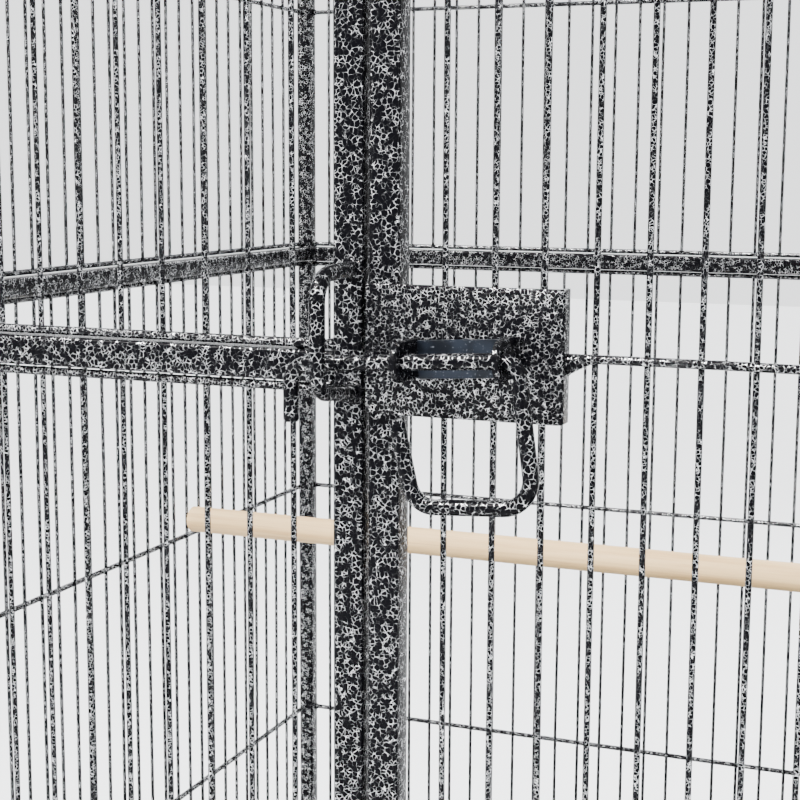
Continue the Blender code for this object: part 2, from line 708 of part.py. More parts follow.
def stand():
    for label, sx, sy in CORNERS:
        x, y = sx * LEG_X, sy * LEG_Y
        add_part("stand_leg_" + label, square_tube((x, y, LEG_BOTTOM), (x, y, STAND_TOP), 2), "hammertone")
    z = STAND_TOP - STAND_TUBE / 2
    reach_x, reach_y = LEG_X - STAND_TUBE / 2 - GAP, LEG_Y - STAND_TUBE / 2 - GAP
    for label, sy in (("front", -1), ("back", 1)):
        tube = square_tube((-reach_x, sy * LEG_Y, z), (reach_x, sy * LEG_Y, z), 0)
        add_part("stand_rail_" + label, tube, "hammertone")
    for label, sx in (("left", -1), ("right", 1)):
        tube = square_tube((sx * LEG_X, -reach_y, z), (sx * LEG_X, reach_y, z), 1)
        add_part("stand_rail_" + label, tube, "hammertone")


def storage_shelf():
    """Wire shelf between the legs, with a tube edge all round."""
    half_x, half_y = HALF_WIDTH - STAND_TUBE - GAP, HALF_DEPTH - SHELF_INSET
    edge = SHELF_EDGE
    z0, z1 = SHELF_Z - edge / 2, SHELF_Z + edge / 2
    boxes = [
        ((-half_x, -half_y, z0), (half_x, -half_y + edge, z1)),
        ((-half_x, half_y - edge, z0), (half_x, half_y, z1)),
        ((-half_x, -half_y + edge, z0), (-half_x + edge, half_y - edge, z1)),
        ((half_x - edge, -half_y + edge, z0), (half_x, half_y - edge, z1)),
    ]
    high = z1 - SHELF_WIRE_DEPTH
    low = high - WIRE
    for x in centred(SHELF_WIRES, 2 * PITCH):
        boxes.append(((x - WIRE / 2, -half_y + edge, low), (x + WIRE / 2, half_y - edge, high)))
    return add_part("storage_shelf", union_of_boxes(boxes), "hammertone")


CORNERS = (("front_left", -1, -1), ("front_right", 1, -1), ("back_left", -1, 1), ("back_right", 1, 1))
FORK_TOP = 0.0665
FORK_PLATE = 0.0025
FORK_CHEEK = 0.0020
FORK_BEFORE = 0.013          # the fork's top plate reaches this far in front of the swivel
FORK_NARROW = 0.012          # the cheeks narrow below the shoulder
FORK_SHOULDER = 0.040
FORK_NOSE = 0.007
WHEEL_CLEARANCE = 0.0012
WHEEL_FACETS = 24
WHEEL_EASE = 0.0025          # chamfer beside the tread
AXLE_RADIUS = 0.0030
SOCKET_RIM = 0.003
SOCKET_PLUG = 0.030
STEM_HALF = 0.005
PEDAL_HALF_WIDTH = 0.011
PEDAL_LENGTH = 0.0150
PEDAL_THICK = 0.0030
PEDAL_Z = 0.0575
PEDAL_AHEAD = 0.0082         # from the axle to the pedal's hinge


def caster(label, sx, sy):
    """Socket in the leg's foot, swivelling fork, axle and wheel; the wheel trails outwards along Y."""
    x, y = sx * LEG_X, sy * LEG_Y
    axle_y = y + sy * CASTER_TRAIL
    flange = LEG_BOTTOM - GAP
    rim = flange - SOCKET_RIM
    inside = STAND_TUBE / 2 - STAND_WALL - GAP
    cap = STAND_TUBE / 2
    boxes = [
        ((x - cap, y - cap, rim), (x + cap, y + cap, flange)),
        ((x - inside, y - inside, flange), (x + inside, y + inside, flange + SOCKET_PLUG)),
        ((x - STEM_HALF, y - STEM_HALF, FORK_TOP + GAP), (x + STEM_HALF, y + STEM_HALF, rim)),
    ]
    add_part("caster_socket_" + label, union_of_boxes(boxes), "black_plastic")
    swivel = pivot("caster_swivel_axis_" + label, (x, y, FORK_TOP))
    inner = WHEEL_WIDTH / 2 + WHEEL_CLEARANCE
    outer = inner + FORK_CHEEK
    low, high = WHEEL_RADIUS - FORK_NOSE, FORK_TOP - FORK_PLATE
    y_near, y_far = y - sy * FORK_BEFORE, axle_y + sy * FORK_NOSE
    a, b = sorted((y_near, y_far))
    c, d = sorted((axle_y - sy * FORK_NARROW, y_far))
    boxes = [((x - outer, a, high), (x + outer, b, FORK_TOP))]
    for side in (-1, 1):
        x0, x1 = sorted((x + side * inner, x + side * outer))
        boxes.append(((x0, a, FORK_SHOULDER), (x1, b, high)))
        boxes.append(((x0, c, low), (x1, d, FORK_SHOULDER)))
    fork = add_part(
        "caster_fork_" + label, union_of_boxes(boxes), "bare_steel", (x, y, FORK_TOP), swivel
    )
    reach = 2 * outer
    hole = rod((x - reach, axle_y, WHEEL_RADIUS), (x + reach, axle_y, WHEEL_RADIUS), AXLE_RADIUS + GAP, 16)
    cut_with(fork, hole, "DIFFERENCE")
    spin = (x, axle_y, WHEEL_RADIUS)
    half = WHEEL_WIDTH / 2
    bore = AXLE_RADIUS + GAP
    flat = WHEEL_RADIUS / math.cos(math.pi / WHEEL_FACETS)
    tread, wall = half - WHEEL_EASE, flat - WHEEL_EASE
    profile = [(bore, -half), (wall, -half), (flat, -tread), (flat, tread), (wall, half), (bore, half)]
    wheel = lathe(profile, spin, (1, 0, 0), WHEEL_FACETS)
    add_part("caster_wheel_" + label, wheel, "black_plastic", spin, swivel, True)
    tip = outer + WHEEL_CLEARANCE
    axle = rod((x - tip, axle_y, WHEEL_RADIUS), (x + tip, axle_y, WHEEL_RADIUS), AXLE_RADIUS, 12)
    add_part("caster_axle_" + label, axle, "bare_steel", spin, swivel, True)


def brake_pedal(label, sx, sy):
    """Foot pedal over a front caster's wheel, on the fork's far edge."""
    x, y = sx * LEG_X, sy * LEG_Y
    axle_y = y + sy * CASTER_TRAIL
    hinge_y = axle_y + sy * PEDAL_AHEAD
    y_tip = hinge_y + sy * PEDAL_LENGTH
    low, high = PEDAL_Z, PEDAL_Z + PEDAL_THICK
    a, b = sorted((hinge_y, y_tip))
    boxes = [((x - PEDAL_HALF_WIDTH, a, low), (x + PEDAL_HALF_WIDTH, b, high))]
    return add_part("brake_pedal_" + label, union_of_boxes(boxes), "black_plastic", (x, hinge_y, low))


# ---- the whole ------------------------------------------------------------------------------
def build():
    clear_scene()
    side_panel("left_side_panel", -1)
    side_panel("right_side_panel", 1)
    back_panel()
    front_side_panel("front_left_panel", -1)
    front_side_panel("front_right_panel", 1)
    front_infill("front_sill_panel", FLOOR_RAIL_Z - TUBE / 2, DOOR_BOTTOM - DOOR_GAP)
    front_infill("front_header_panel", DOOR_TOP + DOOR_GAP, CAGE_TOP)
    roof_panel()
    base_front_rail()
    runner("tray_runner_left", -1)
    runner("tray_runner_right", 1)
    tray()
    grate()
    hinge = pivot("door_hinge_axis", (HINGE_X, HINGE_Y, MID_Z))
    door_panel(hinge)
    latch_plate(hinge)
    latch_bracket(hinge)
    latch_bolt(hinge)
    keeper_staple()
    hinges(hinge)
    for label, side in (("left", -1), ("right", 1)):
        feeder_door("feeder_door_" + label, side)
        feeder_cup("feeder_cup_" + label, side)
    perches()
    stand()
    storage_shelf()
    for label, sx, sy in CORNERS:
        caster(label, sx, sy)
    for label, sx, sy in CORNERS[:2]:
        brake_pedal(label, sx, sy)


build()
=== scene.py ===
"""Looks of the bird cage on its stand: round wires, rounded tubes, welds, fittings and finishes."""
import math
import random

import bpy
from mathutils import Matrix, Vector, noise


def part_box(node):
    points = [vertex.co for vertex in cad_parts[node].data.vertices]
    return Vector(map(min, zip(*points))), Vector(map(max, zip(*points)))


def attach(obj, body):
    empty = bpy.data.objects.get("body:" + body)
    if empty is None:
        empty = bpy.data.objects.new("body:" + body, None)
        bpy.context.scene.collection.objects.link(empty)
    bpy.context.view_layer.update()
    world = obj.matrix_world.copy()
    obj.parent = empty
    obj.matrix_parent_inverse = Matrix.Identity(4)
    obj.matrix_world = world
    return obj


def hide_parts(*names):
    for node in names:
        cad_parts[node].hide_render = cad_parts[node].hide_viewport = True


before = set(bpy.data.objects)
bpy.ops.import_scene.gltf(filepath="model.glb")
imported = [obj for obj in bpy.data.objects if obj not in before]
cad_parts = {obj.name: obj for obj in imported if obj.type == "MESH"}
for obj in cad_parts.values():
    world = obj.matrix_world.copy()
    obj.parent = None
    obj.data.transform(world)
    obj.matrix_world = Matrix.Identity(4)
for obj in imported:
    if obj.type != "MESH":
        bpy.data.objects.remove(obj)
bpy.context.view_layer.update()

# ---- sizes that repeat, metres --------------------------------------------------------------
PITCH = 0.0156              # spacing of the upright wires
WIRE_R = 0.00100            # radius of an upright wire
ROD_R = 0.00150             # radius of a cross rod
BOLT_R = 0.00245            # radius of the latch's rods
ROD_TO_RAIL = 0.0070        # a mesh's end rod, from the centre of the rail beside it
TUBE_CORNER = 0.0013
STAND_CORNER = 0.0022
SHEET = 0.0012              # thickness of the skirts, the tray and the runners
SHEET_EDGE = 0.0005         # rounding of a cut sheet's edge
PLATE = 0.0015              # thickness of the latch plate and of its bracket's web
EAR = 0.0020                # thickness of the bracket's ears
SEAM = 0.0008               # radius of a bead of weld along a tube
AXIS = 0.00001              # radius that closes a turned piece on its axis

# ---- places read from the frame -------------------------------------------------------------
side_low, side_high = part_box("right_side_panel")
door_low, door_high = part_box("door_panel")
left_low, left_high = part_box("front_left_panel")
rail_low, rail_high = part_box("base_front_rail")
TUBE = rail_high.z - rail_low.z
HALF = TUBE / 2
FRONT = door_low.y
MID_Z = (side_low.z + side_high.z) / 2
TOP_Z = side_high.z - HALF
BASE_Z = side_low.z + HALF
BAY = (TOP_Z - BASE_Z) / 6
FLOOR_Z = left_low.z + HALF
OUT_X = side_high.x
IN_X = OUT_X - TUBE
OUT_Y = side_high.y
IN_Y = OUT_Y - TUBE
POST_IN = -left_high.x
POST_OUT = POST_IN + TUBE
DOOR_X = door_high.x
FRONT_PLANE = FRONT + HALF
SIDE_PLANE = OUT_X - HALF
BACK_PLANE = OUT_Y - HALF
UP = Vector((0, 0, 1))
QUARTERS = ((1, 1), (-1, 1), (-1, -1), (1, -1))


# ---- meshes ---------------------------------------------------------------------------------
class Shape:
    """Vertices and faces that grow piece by piece into one mesh."""

    def __init__(self):
        self.verts = []
        self.faces = []

    def add(self, verts, faces):
        start = len(self.verts)
        self.verts += [Vector(v) for v in verts]
        self.faces += [tuple(start + i for i in face) for face in faces]

    def rings(self, rings, closed=False):
        """Skins a run of equal rings of points; open runs get flat ends."""
        size = len(rings[0])
        faces = []
        count = len(rings)
        for r in range(count if closed else count - 1):
            a, b = r * size, (r + 1) % count * size
            for s in range(size):
                t = (s + 1) % size
                faces.append((a + s, a + t, b + t, b + s))
        if not closed:
            faces.append(tuple(range(size))[::-1])
            faces.append(tuple((count - 1) * size + s for s in range(size)))
        self.add([p for ring in rings for p in ring], faces)

    def sweep(self, path, profile, normal=None, scales=None, closed=False):
        """Moves a flat profile of (u, v) points along a path without twisting it."""
        rings = []
        count = len(path)
        for i, spot in enumerate(path):
            if closed:
                ahead = path[(i + 1) % count] - path[i - 1]
            else:
                ahead = path[min(i + 1, count - 1)] - path[max(i - 1, 0)]
            ahead = ahead.normalized()
            if normal is None:
                normal = ahead.orthogonal()
            normal = (normal - ahead * normal.dot(ahead)).normalized()
            across = ahead.cross(normal)
            scale = scales[i] if scales else 1.0
            rings.append([spot + (u * normal + v * across) * scale for u, v in profile])
        self.rings(rings, closed)

    def rod(self, path, radius, sides=10, scales=None, closed=False):
        self.sweep([Vector(p) for p in path], circle(radius, sides), None, scales, closed)

    def tube(self, start, end, size, corner, deep=None):
        """A square or flat tube between two points, with rounded corners."""
        start, end = Vector(start), Vector(end)
        ahead = (end - start).normalized()
        normal = UP if abs(ahead.z) < 0.5 else Vector((1, 0, 0))
        self.sweep([start, end], rounded(size, deep or size, corner), normal)

    def turned(self, profile, centre, axis, sides):
        """Turns a closed outline of (radius, along) points round an axis."""
        spin = UP.rotation_difference(Vector(axis)).to_matrix()
        rings = []
        for s in range(sides):
            angle = 2 * math.pi * s / sides
            spoke = Vector((math.cos(angle), math.sin(angle), 0))
            rings.append([spin @ (spoke * r + UP * z) + Vector(centre) for r, z in profile])
        self.rings(rings, closed=True)

    def blob(self, centre, size, seed, around=10, along=6):
        """A lumpy ellipsoid, for a bead of weld."""
        rough = 0.16
        centre, size = Vector(centre), Vector(size)
        verts = [centre + Vector((0, 0, size.z))]
        for i in range(1, along):
            ring, height = math.sin(math.pi * i / along), math.cos(math.pi * i / along)
            for s in range(around):
                angle = 2 * math.pi * s / around
                way = Vector((ring * math.cos(angle), ring * math.sin(angle), height))
                lump = 1 + rough * noise.noise(way * 1.7 + Vector((seed * 3.1, seed * 1.7, seed)))
                verts.append(centre + Vector((way.x * size.x, way.y * size.y, way.z * size.z)) * lump)
        verts.append(centre - Vector((0, 0, size.z)))
        faces = []
        for s in range(around):
            t = (s + 1) % around
            faces.append((0, 1 + s, 1 + t))
            last = 1 + (along - 2) * around
            faces.append((len(verts) - 1, last + t, last + s))
            for i in range(along - 2):
                a, b = 1 + i * around, 1 + (i + 1) * around
                faces.append((a + s, b + s, b + t, a + t))
        self.add(verts, faces)

    def slab(self, outline, low, high, axis, edge):
        """A flat outline extruded along an axis, its rim eased by a small chamfer."""
        middle = Vector((sum(p[0] for p in outline), sum(p[1] for p in outline))) / len(outline)
        rings = []
        for level, shrink in ((low, edge), (low + edge, 0), (high - edge, 0), (high, edge)):
            ring = []
            for point in outline:
                away = Vector(point) - middle
                away = Vector(point) - away.normalized() * shrink
                ring.append(place(away, level, axis))
            rings.append(ring)
        self.rings(rings)


def place(flat, level, axis):
    """A point of a flat outline put at a level along an axis."""
    spot = [flat[0], flat[1]]
    spot.insert(axis, level)
    return Vector(spot)


def circle(radius, sides):
    turn = [2 * math.pi * (s + 0.5) / sides for s in range(sides)]
    return [(radius * math.cos(a), radius * math.sin(a)) for a in turn]


def rounded(wide, deep, corner, steps=4):
    """A rectangle with rounded corners, as (u, v) points round it."""
    points = []
    for quarter, (su, sv) in enumerate(QUARTERS):
        cu, cv = su * (wide / 2 - corner), sv * (deep / 2 - corner)
        for i in range(steps + 1):
            angle = math.pi / 2 * (quarter + i / steps)
            points.append((cu + corner * math.cos(angle), cv + corner * math.sin(angle)))
    return points


def bend(corners, radii, steps=8):
    """Points along straight runs whose inner corners are rounded, to one radius or one each."""
    spots = [Vector(c) for c in corners]
    if not isinstance(radii, (list, tuple)):
        radii = [radii] * (len(spots) - 2)
    path = [spots[0]]
    for before, corner, after, radius in zip(spots, spots[1:], spots[2:], radii):
        back, ahead = (before - corner).normalized(), (after - corner).normalized()
        half = back.angle(ahead) / 2
        room = 0.48 * min((before - corner).length, (after - corner).length)
        reach = min(radius / math.tan(half), room)
        centre = corner + (back + ahead).normalized() * reach / math.cos(half)
        first, last = corner + back * reach - centre, corner + ahead * reach - centre
        sweep = first.angle(last)
        for i in range(steps + 1):
            t = i / steps
            share = math.sin((1 - t) * sweep) * first + math.sin(t * sweep) * last
            path.append(centre + share / math.sin(sweep))
    path.append(spots[-1])
    return path


def loop(corners, radius, steps=6):
    """A closed run with rounded corners."""
    spots = [Vector(c) for c in corners]
    start = (spots[-1] + spots[0]) / 2
    path = bend([start] + spots + [start], radius, steps)
    return path[:-1]


def finish_piece(name, shape, material, body, replaces=(), sharp=35):
    """Makes the object, rides it on its body and hides the parts it stands for."""
    mesh = bpy.data.meshes.new(name)
    mesh.from_pydata(shape.verts, [], shape.faces)
    mesh.validate()
    mesh.materials.append(material)
    mesh.shade_smooth()
    mesh.set_sharp_from_angle(angle=math.radians(sharp))
    made = bpy.data.objects.new(name, mesh)
    bpy.context.scene.collection.objects.link(made)
    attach(made, body)
    if replaces:
        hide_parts(*replaces)


# ---- finishes -------------------------------------------------------------------------------
class Nodes:
    """Short way to write a material's nodes."""

    def __init__(self, name):
        self.material = bpy.data.materials.new(name)
        self.material.use_nodes = True
        self.tree = self.material.node_tree
        self.shader = self.tree.nodes["Principled BSDF"]
        self.where = self.add("ShaderNodeTexCoord").outputs["Object"]

    def add(self, kind, links=None, **values):
        node = self.tree.nodes.new(kind)
        for key, value in values.items():
            setattr(node, key, value)
        for key, value in (links or {}).items():
            self.set(node.inputs[key], value)
        return node

    def set(self, socket, value):
        if isinstance(value, bpy.types.NodeSocket):
            self.tree.links.new(value, socket)
        else:
            socket.default_value = value

    def noise(self, where, scale, detail, rough=0.5):
        links = {"Vector": where, "Scale": scale, "Detail": detail, "Roughness": rough}
        return self.add("ShaderNodeTexNoise", links).outputs["Fac"]

    def math(self, operation, a, b):
        return self.add("ShaderNodeMath", {0: a, 1: b}, operation=operation).outputs[0]

    def vectors(self, operation, a, b):
        """Vector arithmetic; b is a number when a vector is scaled."""
        other = "Scale" if operation == "SCALE" else 1
        return self.add("ShaderNodeVectorMath", {0: a, other: b}, operation=operation).outputs[0]

    def ramp(self, value, low, high, to_low=0.0, to_high=1.0):
        links = {"Value": value, "From Min": low, "From Max": high, "To Min": to_low, "To Max": to_high}
        return self.add("ShaderNodeMapRange", links, interpolation_type="SMOOTHSTEP").outputs[0]

    def mix(self, share, a, b):
        """A colour between a and b; a Mix node keeps its colours in inputs 6 and 7."""
        return self.add("ShaderNodeMix", {0: share, 6: a, 7: b}, data_type="RGBA").outputs[2]

    def stretch(self, where, scale):
        return self.add("ShaderNodeMapping", {"Vector": where, "Scale": scale}).outputs[0]

    def bump(self, height, strength, distance):
        links = {"Height": height, "Strength": strength, "Distance": distance}
        self.set(self.shader.inputs["Normal"], self.add("ShaderNodeBump", links).outputs[0])

    def surface(self, **values):
        for key, value in values.items():
            self.set(self.shader.inputs[key.replace("_", " ").title()], value)
        return self.material


def hammertone(name, cells_per_m=640.0, cover=0.0):
    """Powder coat of glossy black islands about a millimetre across, parted by silver veins.

    cells_per_m is how many islands lie side by side in a metre, cover widens or thins the veins.
    """
    silver, black = (0.92, 0.93, 0.95, 1), (0.0012, 0.0012, 0.0018, 1)
    n = Nodes(name)
    drift = n.add("ShaderNodeTexNoise", {"Vector": n.where, "Scale": 1.6 * cells_per_m, "Detail": 2.0})
    warp = n.vectors("SUBTRACT", drift.outputs["Color"], (0.5, 0.5, 0.5))
    bent = n.vectors("ADD", n.where, n.vectors("SCALE", warp, 0.5 / cells_per_m))
    links = {"Vector": bent, "Scale": cells_per_m, "Randomness": 1.0}
    cells = n.add("ShaderNodeTexVoronoi", links, feature="DISTANCE_TO_EDGE").outputs["Distance"]
    patch = n.ramp(n.noise(n.where, 0.6 * cells_per_m, 1.5), 0.32, 0.68, cover - 0.008, cover + 0.032)
    veins = n.ramp(n.math("SUBTRACT", patch, cells), -0.012, 0.016)
    n.bump(n.ramp(cells, 0.0, 0.30), 0.35, 0.00014)
    worn = n.ramp(n.noise(n.where, 1.3 * cells_per_m, 3.0), 0.25, 0.75, 0.58, 1.0)
    bright = n.math("MULTIPLY", veins, worn)
    n.shader.inputs["Specular IOR Level"].default_value = 0.03
    return n.surface(base_color=n.mix(bright, black, silver), metallic=n.ramp(bright, 0.0, 0.4, 0.0, 0.90),
                     roughness=n.ramp(bright, 0.0, 1.0, 0.16, 0.34))


def channel_paint_and_painted_shade(name):
    """Thin smooth coat inside a channel: blue black, a little cloudy; its near black is partly painted shade
    of the recess behind the bolt.
    """
    # deep and pale are both near black: the smooth coat's own colour together with painted shade of the
    # channel's recess.
    deep, pale, dusty = (0.003, 0.004, 0.006, 1), (0.007, 0.010, 0.016, 1), (0.12, 0.13, 0.15, 1)
    n = Nodes(name)
    cloud = n.noise(n.where, 160.0, 3.0)
    colour = n.mix(n.ramp(cloud, 0.35, 0.70), deep, pale)
    dust = n.ramp(n.noise(n.where, 1500.0, 1.0), 0.68, 0.76, 0.0, 0.5)
    colour = n.mix(dust, colour, dusty)
    n.bump(n.noise(n.where, 700.0, 2.0), 0.20, 0.0001)
    n.shader.inputs["Specular IOR Level"].default_value = 0.14
    return n.surface(base_color=colour, roughness=n.ramp(cloud, 0.3, 0.7, 0.30, 0.45))


def wood(name):
    """Pale dowel: long grain, fine pores and a few darker streaks."""
    n = Nodes(name)
    along = n.stretch(n.where, (3.0, 90.0, 90.0))
    grain = n.noise(along, 3.0, 6.0, 0.62)
    streaks = n.noise(n.stretch(n.where, (8.0, 520.0, 520.0)), 2.0, 3.0, 0.55)
    base = n.mix(n.ramp(grain, 0.32, 0.72), (0.63, 0.43, 0.205, 1), (0.50, 0.31, 0.13, 1))
    colour = n.mix(n.ramp(streaks, 0.56, 0.78, 0.0, 0.55), base, (0.36, 0.20, 0.095, 1))
    n.bump(n.math("ADD", grain, streaks), 0.35, 0.0003)
    return n.surface(base_color=colour, roughness=n.ramp(grain, 0.3, 0.7, 0.50, 0.68))


def zinc(name):
    """Plated steel with soft spangle and faint rub marks."""
    n = Nodes(name)
    spangle = n.add("ShaderNodeTexVoronoi", {"Vector": n.where, "Scale": 260.0}).outputs["Color"]
    shade = n.ramp(n.add("ShaderNodeSeparateColor", {0: spangle}).outputs[0], 0.0, 1.0)
    rub = n.noise(n.stretch(n.where, (900.0, 60.0, 900.0)), 2.0, 3.0)
    colour = n.mix(shade, (0.46, 0.47, 0.49, 1), (0.62, 0.63, 0.64, 1))
    n.bump(rub, 0.15, 0.0001)
    return n.surface(base_color=colour, metallic=0.9, roughness=n.ramp(rub, 0.3, 0.7, 0.24, 0.42))


def plastic(name, dark, light, rough, grain=1400.0):
    """Moulded plastic or rubber: slight mottling, fine texture and rubbed spots."""
    n = Nodes(name)
    cloud = n.noise(n.where, 60.0, 4.0)
    colour = n.mix(n.ramp(cloud, 0.35, 0.70), dark, light)
    fine = n.noise(n.where, grain, 2.0)
    n.bump(fine, 0.22, 0.0001)
    return n.surface(base_color=colour, roughness=n.ramp(cloud, 0.3, 0.7, rough - 0.08, rough + 0.08))


COAT = hammertone("hammertone_coat")
PLATE_COAT = hammertone("hammertone_plate", 840.0)
WIRE_COAT = hammertone("hammertone_wire", 900.0, 0.006)
# The bracket's web: its near black is partly painted shade of the channel's recess.
BRACKET_PAINT_AND_SHADE = channel_paint_and_painted_shade("bracket_paint_and_painted_shade")
# The ears: finer islands and thinner silver veins; their darker look is partly painted shade of the ears'
# faces in the channel.
EAR_COAT_AND_SHADE = hammertone("ear_coat_and_painted_shade", 1050.0, -0.014)
WOOD = wood("pale_dowel")
ZINC = zinc("zinc_plate")
MOULDED = plastic("caster_nylon", (0.012, 0.012, 0.013, 1), (0.030, 0.030, 0.032, 1), 0.42)
RUBBER = plastic("tread_rubber", (0.020, 0.020, 0.021, 1), (0.045, 0.045, 0.046, 1), 0.66, 2200.0)
HUB = plastic("hub_nylon", (0.10, 0.10, 0.11, 1), (0.14, 0.14, 0.15, 1), 0.38)
CUP = plastic("cup_plastic", (0.045, 0.046, 0.050, 1), (0.065, 0.066, 0.072, 1), 0.26)


def coated(name, shape, body="root", replaces=(), coat=COAT, sharp=35):
    """Finishes a piece in one of the hammertone coats."""
    finish_piece(name, shape, coat, body, replaces, sharp)


# ---- walls ----------------------------------------------------------------------------------
chance = random.Random(7)


def upright(shape, at, low, high):
    """One upright wire, very slightly bowed, as drawn wire is. at gives a point for a height."""
    lean = [Vector((chance.uniform(-1, 1), chance.uniform(-1, 1), 0)) * 0.00022 for _ in range(5)]
    path = []
    for i, off in enumerate(lean):
        share = i / (len(lean) - 1)
        held = 0 if i in (0, len(lean) - 1) else 1
        path.append(at(low + (high - low) * share) + off * held)
    shape.rod(path, WIRE_R, 8)


def mesh_field(places, spot, ends, rods, span, outward, gaps=()):
    """A welded mesh: upright wires at places, behind cross rods at the given heights.

    spot(place, height) gives a point in the wall's plane, outward is the way its rods lie,
    span the rods' two ends, gaps the (first place, last place, height) runs that are cut out.
    """
    uprights, cross = Shape(), Shape()
    low, high = ends
    lift = outward * (WIRE_R + ROD_R - 0.0003)
    weld = Vector((1, 1, 1)) * ROD_R * 0.95
    parts = 9
    for place_at in places:
        foot = low
        for first, last, top in gaps:
            if first < place_at < last:
                foot = top
        upright(uprights, lambda z, p=place_at: spot(p, z), foot, high)
    for z in rods:
        runs = [span]
        for first, last, top in gaps:
            if z < top - ROD_R:
                runs = [(span[0], first), (last, span[1])]
        for a, b in runs:
            cross.rod([spot(a + (b - a) * i / parts, z) + lift for i in range(parts + 1)], ROD_R, 10)
            for place_at in places:
                if a - 0.001 <= place_at <= b + 0.001:
                    cross.blob(spot(place_at, z) + lift * 0.5, weld, chance.random() * 50, 8, 4)
    return uprights, cross


def bead(shape, start, end, radius, seed=0):
    """A bead of weld between two points: overlapping lumps."""
    start, end = Vector(start), Vector(end)
    count = max(2, int((end - start).length / (radius * 0.8)))
    for i in range(count + 1):
        spot = start.lerp(end, i / count)
        wide = radius * (1 + 0.22 * noise.noise(spot * 900 + Vector((seed, 0, 0))))
        shape.blob(spot, (wide, wide, wide), seed + i, 10, 6)


def seams(welds, start, end, seed):
    """Beads along the foot and the top of a rail's end; start and end are at the rail's middle height."""
    for edge in (-HALF * 0.92, HALF * 0.92):
        bead(welds, (start[0], start[1], start[2] + edge), (end[0], end[1], end[2] + edge), SEAM, seed)


def front_seams(welds, x, z):
    seams(welds, (x, FRONT_PLANE - 0.0038, z), (x, FRONT_PLANE + 0.003, z), z + x)


def tier_rods(low_rail, high_rail, stiffeners):
    """Heights of the cross rods between two rails, and the wires' ends."""
    low, high = low_rail + ROD_TO_RAIL, high_rail - ROD_TO_RAIL
    inner = [z for z in stiffeners if low + 0.02 < z < high - 0.02]
    return [low] + inner + [high], (low - ROD_R * 0.8, high + ROD_R * 0.8)


STIFFENERS = [BASE_Z + BAY * i for i in range(1, 6)]
TIERS = ((FLOOR_Z, MID_Z, "lower"), (MID_Z, TOP_Z, "upper"))
RAILS = (BASE_Z, FLOOR_Z, MID_Z, TOP_Z)
SIDE_WIRES = 35
DOOR_WIRES = 20             # the same over and under the door
FEEDER_WIRES = (6, 12)      # which of a side wall's wires bound its feeder opening


def centred(count, pitch):
    return [(i - (count - 1) / 2) * pitch for i in range(count)]


def tiers(node, places, spot, span, outward, gaps=()):
    """Makes a wall's meshes under and over its middle rail, and gives each one's rod heights."""
    for low_rail, high_rail, tier in TIERS:
        rods, ends = tier_rods(low_rail, high_rail, STIFFENERS)
        made = mesh_field(places, spot, ends, rods, span, outward, gaps if tier == "lower" else ())
        for what, shape in zip(("_wires", "_rods"), made):
            coated(node + "_" + tier + what, shape, coat=WIRE_COAT)
        yield rods


def skirt(node, start, end):
    """Sheet between the two lowest rails."""
    shape = Shape()
    middle = UP * (BASE_Z + FLOOR_Z) / 2
    shape.tube(Vector(start) + middle, Vector(end) + middle, FLOOR_Z - BASE_Z - TUBE, SHEET_EDGE, SHEET)
    coated(node + "_skirt", shape)


def side_wall(label, side):
    """Left or right wall."""
    node = label + "_side_panel"
    plane = side * SIDE_PLANE
    outward = Vector((side, 0, 0))
    tubes, welds = Shape(), Shape()
    for end in (-1, 1):
        y = end * BACK_PLANE
        tubes.tube((plane, y, side_low.z), (plane, y, side_high.z), TUBE, TUBE_CORNER)
    for z in RAILS:
        tubes.tube((plane, -IN_Y, z), (plane, IN_Y, z), TUBE, TUBE_CORNER)
    for end in (-1, 1):
        y = end * (IN_Y - 0.0002)
        for i, z in enumerate(RAILS):
            seams(welds, (plane - side * 0.0035, y, z), (plane + side * 0.0035, y, z), i + end)
    coated(node + "_frame", tubes, replaces=(node,))
    places = centred(SIDE_WIRES, PITCH)
    gap = (places[FEEDER_WIRES[0]], places[FEEDER_WIRES[1]], STIFFENERS[0])
    span = (-IN_Y + 0.0004, IN_Y - 0.0004)
    for rods in tiers(node, places, lambda p, z: Vector((plane, p, z)), span, outward, (gap,)):
        for end in (-1, 1):
            for k, z in enumerate(rods):
                spot = Vector((plane, end * (IN_Y - 0.0008), z)) + outward * 0.002
                welds.blob(spot, (0.0019, 0.0017, 0.0021), k + 3 * end)
    coated(node + "_welds", welds)
    skirt(node, (plane, -IN_Y, 0), (plane, IN_Y, 0))


def back_wall():
    node = "back_panel"
    tubes, welds = Shape(), Shape()
    outward = Vector((0, 1, 0))
    for z in RAILS:
        tubes.tube((-IN_X, BACK_PLANE, z), (IN_X, BACK_PLANE, z), TUBE, TUBE_CORNER)
        for side in (-1, 1):
            x = side * (IN_X - 0.0002)
            seams(welds, (x, BACK_PLANE - 0.0035, z), (x, BACK_PLANE + 0.0035, z), z + side)
    coated(node + "_rails", tubes, replaces=(node,))
    span = (-IN_X + 0.0004, IN_X - 0.0004)
    for rods in tiers(node, centred(58, PITCH), lambda p, z: Vector((p, BACK_PLANE, z)), span, outward):
        for side in (-1, 1):
            for k, z in enumerate(rods):
                spot = (side * (IN_X - 0.0008), BACK_PLANE + 0.002, z)
                welds.blob(spot, (0.0017, 0.0019, 0.0021), k + side)
    coated(node + "_welds", welds)
    skirt(node, (-IN_X, BACK_PLANE, 0), (IN_X, BACK_PLANE, 0))


def front_spot(place_at, z):
    return Vector((place_at, FRONT_PLANE, z))


